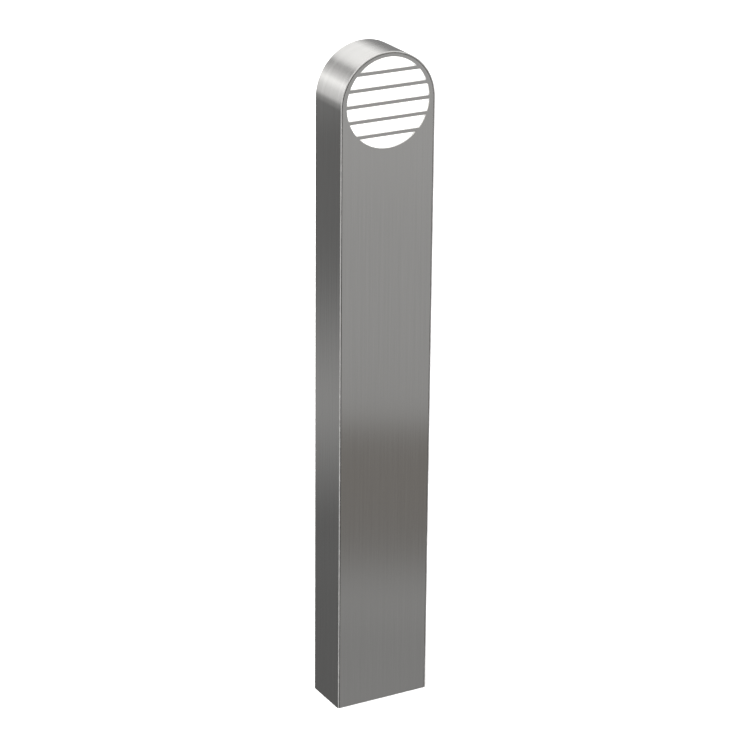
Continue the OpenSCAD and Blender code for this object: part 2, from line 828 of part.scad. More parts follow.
module box_lid_screws() {
    head_y = box_lid_y + box_lid_t - 2;
    color("lightgray") at_corners(post_x, post_z) difference() {
        union() {
            translate([0, box_rear - 10, 0]) rod_y(m3_r, head_y + 1 - box_rear + 10);
            translate([0, head_y, 0]) rod_y(2.9, 1.8);
        }
        translate([-0.4, head_y + 0.8, -4]) cube([0.8, 2, 8]);
    }
}

module box_fixings() {
    head_h = 2.2;
    color("lightgray") at_corners(box_fix_x, box_fix_z) {
        translate([0, gear_y - 3, 0]) rod_y(1.8, 3 + gear_t + box_wall + head_h);
        translate([0, gear_rear + box_wall, 0]) rod_y(3.5, head_h);
    }
}

module terminal_block() {
    y0 = gear_rear + box_wall;
    step = 5;
    color("white") difference() {
        union() {
            translate([-terminal_w / 2, y0, box_mid_z - terminal_h / 2])
                cube([terminal_w, terminal_d - step, terminal_h]);
            translate([-terminal_w / 2, y0, box_mid_z - terminal_h / 4])
                cube([terminal_w, terminal_d, terminal_h / 2]);
        }
        at_poles() translate([0, y0 + terminal_d - step - 6, 0]) rod_y(2.1, 7);
        at_poles() translate([0, y0 + 5, -terminal_h / 2]) cylinder(r = 1.8, h = terminal_h, center = true);
    }
}

// Runs its children at each terminal screw, above and below the block's middle
module at_poles() {
    for (i = [0 : poles - 1], z = [-1, 1])
        translate([(i - (poles - 1) / 2) * pole_pitch, 0, box_mid_z + z * terminal_h * 3 / 8]) children();
}

module terminal_screws() {
    y0 = gear_rear + box_wall + terminal_d - 5;
    color("gold") at_poles() translate([0, y0 - 6, 0]) rod_y(2, 5);
}

// ---- Earth connection ----

module earth_stud() {
    color("gold") translate([earth_x, 0, earth_z]) rod_x(m6_r, earth_len);
}

// Two nuts with a washer under each, clamping the lug between them
module earth_nuts() {
    color("gold") translate([earth_x, 0, earth_z]) rotate([0, 90, 0]) {
        washer();
        translate([0, 0, washer_t + lug_ring_t]) washer();
        translate([0, 0, 2 * washer_t + lug_ring_t]) hex_nut(m6_af, m6_h, m6_r + 0.05);
    }
}

module washer() {
    difference() {
        cylinder(r = 6, h = washer_t);
        translate([0, 0, -cut]) cylinder(r = m6_r + 0.2, h = washer_t + 2 * cut);
    }
}

module earth_lug() {
    color("silver") translate([earth_x + washer_t, 0, earth_z]) {
        difference() {
            union() {
                rod_x(5.5, lug_ring_t);
                translate([0, -2, 0]) cube([lug_ring_t, 4, 10]);
            }
            translate([-cut, 0, 0]) rod_x(m6_r + 0.2, lug_ring_t + 2 * cut);
        }
    }
    color("silver") translate([earth_x + 4.5, 0, earth_z + 8]) difference() {
        union() {
            cylinder(r = 2.8, h = 7);
            translate([-4.5 + washer_t, -2, 0]) cube([4, 4, 2]);
        }
        translate([0, 0, 2]) cylinder(r = earth_d / 2 + 0.15, h = 7);
    }
}

module earth_lead() {
    color("yellowgreen") tube(smooth_path(earth_route, 4), earth_d / 2, 8);
}

// ---- Lamp lead ----

module lamp_lead() {
    color("black") tube(smooth_path(lamp_route, 3), lead_d / 2, 10);
}

// Saddles on the band's inner face that hold the lead
module lead_clips() {
    clip_h = 10;
    grip = 1.6;
    color("white") for (z = clip_zs) translate([0, 0, z - clip_h / 2]) difference() {
        union() {
            translate([inner_half - 2, lead_y - 9, 0]) cube([2, 18, clip_h]);
            translate([lead_x, lead_y, 0]) cylinder(r = lead_d / 2 + grip, h = clip_h);
        }
        translate([lead_x, lead_y, -cut]) cylinder(r = lead_d / 2 + 0.1, h = clip_h + 2 * cut);
        translate([inner_half, lead_y - 10, -cut]) cube([10, 20, clip_h + 2 * cut]);
    }
}

side_band();
front_panel();
weld_beads();
panel_studs();
crown_clip();
rear_lugs();
lug_nuts();
rear_cover();
cover_screws();
window_seal();
diffuser();
tray_seal();
lamp_tray();
tray_nuts();
holder_bracket();
bracket_rivets();
lamp_holder();
holder_shell();
holder_contact();
holder_screws();
lamp_cap();
lamp_insulator();
lamp_contact();
lamp_body();
lamp_globe();
led_board();
tray_gland_body();
tray_gland_cap();
tray_gland_nut();
foot_channel();
foot_studs();
foot_nuts();
cable_grommet();
gear_plate();
gear_spacers();
gear_nuts();
box_base();
box_seal();
box_lid();
box_lid_screws();
box_fixings();
box_gland_bodies();
box_gland_caps();
box_gland_nuts();
gland_seals();
terminal_block();
terminal_screws();
earth_stud();
earth_nuts();
earth_lug();
earth_lead();
lamp_lead();
lead_clips();
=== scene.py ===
"""The looks of a bollard light in brushed stainless sheet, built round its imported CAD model.

Each sub-assembly is a class with its sizes as fields. Shapes are in metres in the CAD model's own
frame: +Z up, -Y out of the window, +Y out of the rear cover.
"""

from __future__ import annotations

import logging
import math
from dataclasses import dataclass, field
from enum import Enum
from typing import Any, Callable, Mapping, Sequence

import bmesh
import bpy
from mathutils import Matrix, Vector


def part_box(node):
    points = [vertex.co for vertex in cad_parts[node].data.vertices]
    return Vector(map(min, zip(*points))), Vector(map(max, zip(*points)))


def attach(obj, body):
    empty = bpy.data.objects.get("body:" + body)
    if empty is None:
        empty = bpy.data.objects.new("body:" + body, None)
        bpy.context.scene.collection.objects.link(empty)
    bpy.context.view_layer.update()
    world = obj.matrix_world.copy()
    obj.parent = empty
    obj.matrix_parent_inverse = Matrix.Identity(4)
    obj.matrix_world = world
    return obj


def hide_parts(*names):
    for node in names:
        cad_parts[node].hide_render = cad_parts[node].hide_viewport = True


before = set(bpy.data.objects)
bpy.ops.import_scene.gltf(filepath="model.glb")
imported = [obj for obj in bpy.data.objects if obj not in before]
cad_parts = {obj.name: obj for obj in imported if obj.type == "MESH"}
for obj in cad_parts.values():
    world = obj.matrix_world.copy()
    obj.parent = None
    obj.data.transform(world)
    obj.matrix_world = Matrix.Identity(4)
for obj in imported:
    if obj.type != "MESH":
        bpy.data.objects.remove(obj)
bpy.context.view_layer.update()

log = logging.getLogger("bollard_light")
MM = 0.001
FLANGED_NUT = 8 / 11  # a flanged nut's width across its flats, as a share of its flange's
BAND_STEPS = 1041  # points along the bent band, so that its head is a smooth arc
SOCKET_TOOL = 2.8 * MM  # height of the hexagon that cuts a screw's socket, half of it in the head
WAVE_SCALE = 50.0  # a wave texture of this scale repeats every millimetre
RIDGE = 0.36  # a thread ridge's radius, as a share of its pitch
RIDGE_SINK = 0.12  # how far a ridge's middle lies inside the core, as a share of its pitch
ROLLED_SHARE = 0.46  # how far a rolled thread reaches each way, as a share of the cap's height
ROLLED_FADE = 2 * MM  # the stretch over which a rolled thread dies away
SLOTTED_SHANK = 0.52  # a slotted screw's shank, as a share of its head's radius
# A nut's own radii, as shares of its width across the flats, and the rise of its bearing face.
NUT_CHAMFER = 0.482
NUT_FACE = 0.47
NUT_WIDEST_BORE = 0.42
NUT_FACE_RISE = 0.2 * MM
Box = tuple[Vector, Vector]
Colour = tuple[float, float, float, float]


# ---- Small tools -------------------------------------------------------------------------------


def linear(code: str, alpha: float = 1.0) -> Colour:
    """Turns an sRGB hex colour into linear light.

    Args:
        code: Six hex digits, with or without a leading hash.
        alpha: The fourth value.

    Returns:
        Red, green, blue and alpha, with the first three linear.
    """
    digits = code.lstrip("#")
    parts = [int(digits[i : i + 2], 16) / 255 for i in (0, 2, 4)]
    red, green, blue = (p / 12.92 if p <= 0.04045 else ((p + 0.055) / 1.055) ** 2.4 for p in parts)
    return red, green, blue, alpha


def add(
    tree: bpy.types.NodeTree,
    kind: str,
    links: Mapping[Any, Any] | None = None,
    values: Mapping[Any, Any] | None = None,
    **settings: Any,
) -> bpy.types.Node:
    """Adds one node to a tree, with its settings, values and incoming links.

    Args:
        tree: A shader or geometry tree.
        kind: The node's type, such as "ShaderNodeMath".
        links: Input socket to the output socket that feeds it.
        values: Input socket to its constant.
        settings: Properties of the node itself.

    Returns:
        The new node.
    """
    node = tree.nodes.new(kind)
    for name, value in settings.items():
        setattr(node, name, value)
    for socket, value in (values or {}).items():
        node.inputs[socket].default_value = value
    for socket, source in (links or {}).items():
        tree.links.new(source, node.inputs[socket])
    return node


def centre(box: Box) -> Vector:
    """The middle of a box."""
    return (box[0] + box[1]) / 2


def linked(name: str, data: bpy.types.ID) -> bpy.types.Object:
    """Puts a mesh, curve, light or camera into the scene as an object.

    Args:
        name: The object's name.
        data: What it shows.

    Returns:
        The object.
    """
    piece = bpy.data.objects.new(name, data)
    bpy.context.scene.collection.objects.link(piece)
    return piece


def islands(node: str) -> list[Box]:
    """Finds the separate solids of a CAD node.

    Args:
        node: The CAD node's name.

    Returns:
        One box for each solid, from the lowest to the highest.
    """
    mesh = bmesh.new()
    mesh.from_mesh(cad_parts[node].data)
    bmesh.ops.remove_doubles(mesh, verts=mesh.verts, dist=1e-6)
    left = set(mesh.verts)
    boxes = []
    while left:
        stack = [left.pop()]
        group = list(stack)
        while stack:
            for edge in stack.pop().link_edges:
                for vert in edge.verts:
                    if vert in left:
                        left.remove(vert)
                        stack.append(vert)
                        group.append(vert)
        low = Vector([min(v.co[i] for v in group) for i in range(3)])
        high = Vector([max(v.co[i] for v in group) for i in range(3)])
        boxes.append((low, high))
    mesh.free()
    return sorted(boxes, key=lambda b: tuple(round(c, 5) for c in (b[0].z, b[0].x, b[0].y)))


def merged_copy(node: str) -> bpy.types.Mesh:
    """Copies a CAD node's mesh, with its loose triangles merged and its flat faces made whole.

    Args:
        node: The CAD node's name.

    Returns:
        The new mesh.
    """
    shape = bmesh.new()
    shape.from_mesh(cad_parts[node].data)
    bmesh.ops.remove_doubles(shape, verts=shape.verts, dist=2e-6)
    bmesh.ops.dissolve_limit(
        shape, angle_limit=math.radians(0.5), verts=shape.verts, edges=shape.edges
    )
    mesh = bpy.data.meshes.new(node)
    shape.to_mesh(mesh)
    shape.free()
    return mesh


def baked(host: bpy.types.Object, name: str) -> bpy.types.Object:
    """Turns an object's modifiers into a plain mesh and removes the object.

    Args:
        host: The object with its modifiers.
        name: The new piece's name.

    Returns:
        The plain piece.
    """
    graph = bpy.context.evaluated_depsgraph_get()
    mesh = bpy.data.meshes.new_from_object(host.evaluated_get(graph), depsgraph=graph)
    bpy.data.objects.remove(host)
    mesh.name = name
    return linked(name, mesh)


def shade(mesh: bpy.types.Mesh, angle: float = 30.0) -> None:
    """Shades a mesh smooth, except over sharp edges, and keeps its wide faces flat.

    Each corner takes the normal of the faces around it by their area, so an eased edge doesn't
    bend the shading of the flat face beside it.

    Args:
        mesh: The mesh.
        angle: Edges sharper than this, in degrees, stay sharp.
    """
    mesh.polygons.foreach_set("use_smooth", [True] * len(mesh.polygons))
    mesh.set_sharp_from_angle(angle=math.radians(angle))
    host = linked("shading_host", mesh)
    even = host.modifiers.new("even", "WEIGHTED_NORMAL")
    even.mode = "FACE_AREA"
    even.weight = 50
    even.keep_sharp = True
    graph = bpy.context.evaluated_depsgraph_get()
    normals = [tuple(n.vector) for n in host.evaluated_get(graph).data.corner_normals]
    bpy.data.objects.remove(host)
    mesh.normals_split_custom_set(normals)


def outward(mesh: bpy.types.Mesh) -> None:
    """Merges doubles and turns every face of a closed mesh outwards.

    Args:
        mesh: The mesh.
    """
    shape = bmesh.new()
    shape.from_mesh(mesh)
    bmesh.ops.remove_doubles(shape, verts=shape.verts, dist=1e-7)
    bmesh.ops.recalc_face_normals(shape, faces=shape.faces)
    shape.to_mesh(mesh)
    shape.free()


def grain_map(mesh: bpy.types.Mesh, across_along: Callable[[Vector], tuple[float, float]]) -> None:
    """Lays a UV map in millimetres over a mesh, with U across the metal's grain and V along it.

    Args:
        mesh: The mesh.
        across_along: Gives the two lengths in metres for a point.
    """
    layer = mesh.uv_layers.new(name="grain")
    for loop in mesh.loops:
        across, along = across_along(mesh.vertices[loop.vertex_index].co)
        layer.data[loop.index].uv = (across / MM, along / MM)


class Way(Enum):
    """Which way a fixing's free end points, as the turn that brings +Z there."""

    UP = (0.0, 0.0, 0.0)
    DOWN = (math.pi, 0.0, 0.0)
    REAR = (-math.pi / 2, 0.0, 0.0)
    FRONT = (math.pi / 2, 0.0, 0.0)
    RIGHT = (0.0, math.pi / 2, 0.0)
    LEFT = (0.0, -math.pi / 2, 0.0)


@dataclass(frozen=True)
class Seat:
    """Where a fixing stands, and which way it points."""

    spot: Vector
    way: Way


# ---- Geometry Nodes ----------------------------------------------------------------------------


class Tree:
    """A Geometry Nodes tree with named inputs, which always end in the finish."""

    def __init__(self, name: str, lengths: str, counts: str = "") -> None:
        """Makes an empty tree.

        Args:
            name: The tree's name.
            lengths: The names of its number inputs, with spaces between them.
            counts: The names of its whole-number inputs.
        """
        self.group = bpy.data.node_groups.new(name, "GeometryNodeTree")
        kinds = dict.fromkeys(lengths.split(), "Float") | dict.fromkeys(counts.split(), "Int")
        for title, kind in {"Geometry": "Geometry", **kinds, "Finish": "Material"}.items():
            self.group.interface.new_socket(
                name=title, in_out="INPUT", socket_type=f"NodeSocket{kind}"
            )
        self.group.interface.new_socket(
            name="Geometry", in_out="OUTPUT", socket_type="NodeSocketGeometry"
        )
        self.given = self.group.nodes.new("NodeGroupInput").outputs

    def put(self, kind: str, links: Mapping[Any, Any] | None = None, **rest: Any) -> Any:
        """Adds a node.

        Args:
            kind: The node's type.
            links: Input socket to the output socket that feeds it.
            rest: The node's values and settings, as add takes them.

        Returns:
            The node's first output.
        """
        return add(self.group, kind, links, **rest).outputs[0]

    def math(self, operation: str, *terms: Any) -> Any:
        """Adds a Math node.

        Args:
            operation: The node's operation.
            terms: Numbers or output sockets, in order.

        Returns:
            The node's output.
        """
        links = {i: t for i, t in enumerate(terms) if not isinstance(t, (int, float))}
        values = {i: t for i, t in enumerate(terms) if isinstance(t, (int, float))}
        return self.put("ShaderNodeMath", links, values=values, operation=operation)

    def finish(self, geometry: Any) -> None:
        """Ends the tree in Realize Instances and Set Material.

        Args:
            geometry: The finished shape.
        """
        whole = self.put("GeometryNodeRealizeInstances", {0: geometry})
        dressed = self.put(
            "GeometryNodeSetMaterial", {"Geometry": whole, "Material": self.given["Finish"]}
        )
        end = self.group.nodes.new("NodeGroupOutput")
        self.group.links.new(dressed, end.inputs[0])

    def scatter(self, shape: Any) -> None:
        """Ends the tree with a copy of the shape on every seat, turned its way.

        Args:
            shape: The shape, standing on the origin.
        """
        tilt = add(
            self.group, "GeometryNodeInputNamedAttribute", values={"Name": "tilt"},
            data_type="FLOAT_VECTOR",
        ).outputs["Attribute"]
        self.finish(
            self.put(
                "GeometryNodeInstanceOnPoints",
                {"Points": self.given["Geometry"], "Instance": shape, "Rotation": tilt},
            )
        )

    def lifted(self, shape: Any, rise: Any) -> Any:
        """Moves a shape up along Z."""
        lift = self.put("ShaderNodeCombineXYZ", {"Z": rise})
        return self.put("GeometryNodeTransform", {"Geometry": shape, "Translation": lift})

    def rod(self, radius: Any, depth: Any, sides: int, **rest: Any) -> Any:
        """Adds an upright cylinder or prism round the origin.

        Args:
            radius: Its radius, as an output socket.
            depth: Its height, as an output socket or a number.
            sides: Its number of sides.
            rest: Settings of the node, and more of its values.

        Returns:
            The shape.
        """
        values = {"Vertices": sides, **rest.pop("values", {})}
        links = {"Radius": radius}
        (values if isinstance(depth, float) else links)["Depth"] = depth
        return self.put("GeometryNodeMeshCylinder", links, values=values, **rest)

    def shank(self) -> Any:
        """Adds a plain rod of the tree's Shank radius and Length, from the origin down.

        Returns:
            The rod.
        """
        length = self.given["Length"]
        rod = self.rod(self.given["Shank"], length, 24)
        return self.lifted(rod, self.math("MULTIPLY", length, -0.5))

    def swelled(self, shape: Any, place: Any, scale: Any) -> Any:
        """Scales a shape in X and Y, by a factor that may differ from point to point.

        Args:
            shape: The shape.
            place: The point's position.
            scale: The factor.

        Returns:
            The changed shape.
        """
        ring = self.put("ShaderNodeCombineXYZ", {"X": scale, "Y": scale}, values={"Z": 1.0})
        moved = self.put("ShaderNodeVectorMath", {0: place, 1: ring}, operation="MULTIPLY")
        return self.put("GeometryNodeSetPosition", {"Geometry": shape, "Position": moved})

    def joined(self, *shapes: Any) -> Any:
        """Joins shapes into one.

        Args:
            shapes: The shapes.

        Returns:
            All of them together.
        """
        node = add(self.group, "GeometryNodeJoinGeometry")
        for shape in shapes:
            self.group.links.new(shape, node.inputs[0])
        return node.outputs[0]

    def carved(self, base: Any, tool: Any, operation: str = "DIFFERENCE") -> Any:
        """Combines two closed shapes.

        Args:
            base: The shape to work on.
            tool: The shape to cut with, to keep the overlap of, or to add.
            operation: DIFFERENCE, INTERSECT or UNION.

        Returns:
            The new shape.
        """
        node = add(self.group, "GeometryNodeMeshBoolean", operation=operation, solver="EXACT")
        side = "Mesh 1" if operation == "DIFFERENCE" else "Mesh 2"
        self.group.links.new(base, node.inputs[side])
        self.group.links.new(tool, node.inputs["Mesh 2"])
        return node.outputs["Mesh"]

    def grow(
        self, name: str, values: Mapping[str, Any], seats: Sequence[Seat] = ()
    ) -> bpy.types.Object:
        """Runs the tree once and turns the result into a plain piece.

        Args:
            name: The piece's name.
            values: Input name to value.
            seats: Where the tree's shape is to stand, handed over as loose vertices.

        Returns:
            The new piece.
        """
        mesh = bpy.data.meshes.new(f"{name}_seeds")
        mesh.from_pydata([tuple(s.spot) for s in seats], [], [])
        if seats:
            tilt = mesh.attributes.new("tilt", "FLOAT_VECTOR", "POINT")
            tilt.data.foreach_set("vector", [a for s in seats for a in s.way.value])
        host = linked(f"{name}_host", mesh)
        modifier = host.modifiers.new("shape", "NODES")
        modifier.node_group = self.group
        for item in self.group.interface.items_tree:
            if item.in_out == "INPUT" and item.name in values:
                modifier[item.identifier] = values[item.name]
        host.update_tag()
        bpy.context.view_layer.update()
        return baked(host, name)


def band_tree() -> Tree:
    """A flat strip bent up, over a half-round head and down again.

    Returns:
        A tree with the inputs Height, Width, Depth, Sheet and Edge.
    """
    tree = Tree("bent_band", "Height Width Depth Sheet Edge")
    m, given = tree.math, tree.given
    half = m("MULTIPLY", given["Width"], 0.5)
    radius = m("SUBTRACT", half, m("MULTIPLY", given["Sheet"], 0.5))
    leg = m("SUBTRACT", given["Height"], half)
    bend = m("MULTIPLY", radius, math.pi)
    total = m("ADD", m("MULTIPLY", leg, 2.0), bend)
    line = tree.put("GeometryNodeCurvePrimitiveLine", values={"End": (0, 0, 1)})
    path = tree.put("GeometryNodeResampleCurve", {"Curve": line}, values={"Count": BAND_STEPS})
    share = add(tree.group, "GeometryNodeSplineParameter").outputs["Factor"]
    run = m("MULTIPLY", share, total)
    past = m("SUBTRACT", run, leg)
    turn = m("DIVIDE", m("MINIMUM", m("MAXIMUM", past, 0.0), bend), radius)
    down = m("MAXIMUM", m("SUBTRACT", past, bend), 0.0)
    x = m("MULTIPLY", m("COSINE", turn), m("MULTIPLY", radius, -1.0))
    rise = m("ADD", m("MINIMUM", run, leg), m("MULTIPLY", radius, m("SINE", turn)))
    spot = tree.put("ShaderNodeCombineXYZ", {"X": x, "Z": m("SUBTRACT", rise, down)})
    bent = tree.put("GeometryNodeSetPosition", {"Geometry": path, "Position": spot})
    aimed = tree.put(
        "GeometryNodeSetCurveNormal", {"Curve": bent}, values={"Normal": (0, 1, 0)}, mode="FREE"
    )
    strip = tree.put(
        "GeometryNodeCurvePrimitiveQuadrilateral",
        {"Width": given["Depth"], "Height": given["Sheet"]},
    )
    eased = tree.put(
        "GeometryNodeFilletCurve", {"Curve": strip, "Radius": given["Edge"]},
        values={"Count": 4}, mode="POLY",
    )
    tree.finish(
        tree.put(
            "GeometryNodeCurveToMesh", {"Curve": aimed, "Profile Curve": eased},
            values={"Fill Caps": True},
        )
    )
    return tree


def thread_tree() -> Tree:
    """Helical ridges standing on the seats.

    Returns:
        A tree with the inputs Radius, Pitch and Length.
    """
    tree = Tree("screw_thread", "Radius Pitch Length")
    m, given = tree.math, tree.given
    coil = tree.put(
        "GeometryNodeCurveSpiral",
        {"Rotations": m("DIVIDE", given["Length"], given["Pitch"]),
         "Start Radius": given["Radius"], "End Radius": given["Radius"],
         "Height": given["Length"]},
        values={"Resolution": 24},
    )
    ridge = tree.put(
        "GeometryNodeCurvePrimitiveCircle", {"Radius": m("MULTIPLY", given["Pitch"], RIDGE)},
        values={"Resolution": 4}, mode="RADIUS",
    )
    tree.scatter(
        tree.put(
            "GeometryNodeCurveToMesh", {"Curve": coil, "Profile Curve": ridge},
            values={"Fill Caps": True},
        )
    )
    return tree


def edison_tree() -> Tree:
    """A closed plug with the lamp cap's rounded thread rolled into its wall.

    Returns:
        A tree with the inputs Radius, Pitch, Height and Crest.
    """
    tree = Tree("rolled_thread", "Radius Pitch Height Crest")
    m, given = tree.math, tree.given
    tube = tree.rod(
        given["Radius"], given["Height"], 96, values={"Side Segments": 84}, fill_type="NGON"
    )
    place = tree.put("GeometryNodeInputPosition")
    parts = add(tree.group, "ShaderNodeSeparateXYZ", {0: place}).outputs
    angle = m("ARCTAN2", parts["Y"], parts["X"])
    climb = m("MULTIPLY", m("DIVIDE", parts["Z"], given["Pitch"]), math.tau)
    wave = m("MULTIPLY_ADD", m("COSINE", m("SUBTRACT", climb, angle)), 0.5, -0.5)
    reach = m("MULTIPLY", given["Height"], ROLLED_SHARE)
    ends = m("SUBTRACT", reach, m("ABSOLUTE", parts["Z"]))
    eased = m("MINIMUM", m("MAXIMUM", m("MULTIPLY", ends, 1 / ROLLED_FADE), 0.0), 1.0)
    depth = m("DIVIDE", m("MULTIPLY", given["Crest"], eased), given["Radius"])
    tree.scatter(tree.swelled(tube, place, m("MULTIPLY_ADD", wave, depth, 1.0)))
    return tree


def socket_screw_tree() -> Tree:
    """Countersunk screws with a hexagon socket. The seat is where the cone meets the shank.

    Returns:
        A tree with the inputs Head, Sink, Shank, Length and Socket.
    """
    tree = Tree("socket_screws", "Head Sink Shank Length Socket")
    given = tree.given
    cone = tree.put(
        "GeometryNodeMeshCone",
        {"Radius Top": given["Head"], "Radius Bottom": given["Shank"], "Depth": given["Sink"]},
        values={"Vertices": 40},
    )
    hexagon = tree.rod(tree.math("DIVIDE", given["Socket"], math.sqrt(3.0)), SOCKET_TOOL, 6)
    head = tree.carved(cone, tree.lifted(hexagon, given["Sink"]))
    tree.scatter(tree.joined(head, tree.shank()))
    return tree


def slotted_screw_tree() -> Tree:
    """Domed screw heads with a straight slot, on a shank. The seat is under the head.

    Returns:
        A tree with the inputs Head, Rise, Shank, Length and Slot.
    """
    tree = Tree("slotted_screws", "Head Rise Shank Length Slot")
    m, given = tree.math, tree.given
    disc = tree.rod(given["Head"], given["Rise"], 36, values={"Side Segments": 6})
    raised = tree.lifted(disc, m("MULTIPLY", given["Rise"], 0.5))
    place = tree.put("GeometryNodeInputPosition")
    level = add(tree.group, "ShaderNodeSeparateXYZ", {0: place}).outputs["Z"]
    share = m("DIVIDE", level, given["Rise"])
    # The squared radius falls with the cube of the height, by 0.6 at the top: a low dome.
    shrink = m("SQRT", m("MAXIMUM", m("MULTIPLY_ADD", m("POWER", share, 3.0), -0.6, 1.0), 0.1))
    domed = tree.swelled(raised, place, shrink)
    through = m("MULTIPLY", given["Head"], 2.4)  # longer than the head is wide
    size = tree.put(
        "ShaderNodeCombineXYZ", {"X": through, "Y": given["Slot"], "Z": given["Rise"]}
    )
    saw = tree.lifted(tree.put("GeometryNodeMeshCube", {"Size": size}), given["Rise"])
    tree.scatter(tree.joined(tree.carved(domed, saw), tree.shank()))
    return tree


def nut_tree() -> Tree:
    """Hexagon nuts, chamfered on both faces, on a round collar if it is wider than the nut.

    Returns:
        A tree with the inputs Across, Height, Bore, Collar, Rim and Spin.
    """
    tree = Tree("hexagon_nuts", "Across Height Bore Collar Rim Spin")
    m, given = tree.math, tree.given
    half = m("MULTIPLY", given["Height"], 0.5)
    prism = tree.rod(m("DIVIDE", given["Across"], math.sqrt(3.0)), given["Height"], 6)
    spin = tree.put("ShaderNodeCombineXYZ", {"Z": given["Spin"]})
    shape = tree.put("GeometryNodeTransform", {"Geometry": prism, "Rotation": spin})
    narrow = m("MULTIPLY", given["Across"], NUT_CHAMFER)
    wide = m("MULTIPLY_ADD", given["Height"], math.sqrt(3.0), narrow)
    for small, large in ((narrow, wide), (wide, narrow)):
        cone = tree.put(
            "GeometryNodeMeshCone",
            {"Radius Top": small, "Radius Bottom": large, "Depth": given["Height"]},
            values={"Vertices": 60},
        )
        shape = tree.carved(shape, tree.lifted(cone, m("MULTIPLY", half, -1.0)), "INTERSECT")
    disc = tree.rod(given["Collar"], given["Rim"], 48)
    collar = tree.lifted(disc, m("MULTIPLY", given["Rim"], 0.5))
    flanged = tree.carved(tree.lifted(shape, half), collar, "UNION")
    drill = tree.rod(given["Bore"], m("MULTIPLY", given["Height"], 3.0), 36)
    tree.scatter(tree.carved(flanged, drill))
    return tree


def rib_tree() -> Tree:
    """Rings of upright grip ribs round the seats.

    Returns:
        A tree with the inputs Ring, Rib, Height and Count.
    """
    tree = Tree("grip_ribs", "Ring Rib Height", "Count")
    given = tree.given
    ring = tree.put(
        "GeometryNodeMeshCircle", {"Vertices": given["Count"], "Radius": given["Ring"]}
    )
    rib = tree.rod(given["Rib"], given["Height"], 10)
    rise = tree.lifted(rib, tree.math("MULTIPLY", given["Height"], 0.5))
    tree.scatter(tree.put("GeometryNodeInstanceOnPoints", {"Points": ring, "Instance": rise}))
    return tree


# ---- Finishes ----------------------------------------------------------------------------------


class Recipe:
    """A material under way: its tree, its Principled shader and the point it is read at."""

    def __init__(self, name: str, metal: bool = False) -> None:
        """Makes the material.

        Args:
            name: The finish's name.
            metal: Whether it is bare metal.
        """
        self.material = bpy.data.materials.new(name)
        self.material.use_nodes = True
        self.tree = self.material.node_tree
        self.tree.nodes.clear()
        self.shader = self.put("ShaderNodeBsdfPrincipled")
        self.put("ShaderNodeOutputMaterial", {"Surface": self.shader.outputs[0]})
        self.set("Metallic", float(metal))
        self.place = self.put("ShaderNodeTexCoord").outputs["Object"]

    def put(
        self,
        kind: str,
        links: Mapping[Any, Any] | None = None,
        values: Mapping[Any, Any] | None = None,
        **settings: Any,
    ) -> bpy.types.Node:
        """Adds a node to the material, as add does to any tree."""
        return add(self.tree, kind, links, values, **settings)

    def set(self, title: str, value: Any) -> None:
        """Gives an input of the shader a constant."""
        self.shader.inputs[title].default_value = value

    def feed(self, title: str, source: Any) -> None:
        """Links an output to an input of the shader."""
        self.tree.links.new(source, self.shader.inputs[title])

    def noise(self, scale: float, detail: float = 2.0, roughness: float = 0.5,
              at: Any = None) -> bpy.types.Node:
        """Adds a noise texture.

        Args:
            scale: Its scale, in cells a metre on the object's own coordinates.
            detail: Its octaves.
            roughness: How strong the small octaves are.
            at: Where it is read, if not at the object's own coordinates.

        Returns:
            The texture's node.
        """
        return self.put("ShaderNodeTexNoise", {"Vector": self.place if at is None else at},
                        {"Scale": scale, "Detail": detail, "Roughness": roughness})

    def tone(self, source: Any, dark: Colour, light: Colour, low: float = 0.0,
             high: float = 1.0) -> None:
        """Colours the surface between two tones.

        Args:
            source: What drives it, from 0 to 1.
            dark: The tone at the low end, in linear light.
            light: The tone at the high end.
            low: Where the dark tone ends.
            high: Where the light tone starts.
        """
        ramp = self.put("ShaderNodeValToRGB", {0: source})
        for point, spot, colour in zip(ramp.color_ramp.elements, (low, high), (dark, light)):
            point.position = spot
            point.color = colour
        self.feed("Base Color", ramp.outputs[0])

    def gloss(self, source: Any, smooth: float, rough: float, low: float = 0.3,
              high: float = 0.7) -> None:
        """Lets the roughness run between two values.

        Args:
            source: What drives it.
            smooth: The roughness at the low end.
            rough: The roughness at the high end.
            low: Where the low end is.
            high: Where the high end is.
        """
        span = self.put("ShaderNodeMapRange", {0: source}, {1: low, 2: high, 3: smooth, 4: rough})
        self.feed("Roughness", span.outputs[0])

    def bump(self, source: Any, strength: float, distance: float) -> None:
        """Breaks the surface up.

        Args:
            source: The height.
            strength: The bump's strength.
            distance: What a height of 1 stands for, in metres.
        """
        node = self.put("ShaderNodeBump", {"Height": source},
                        {"Strength": strength, "Distance": distance})
        self.feed("Normal", node.outputs[0])


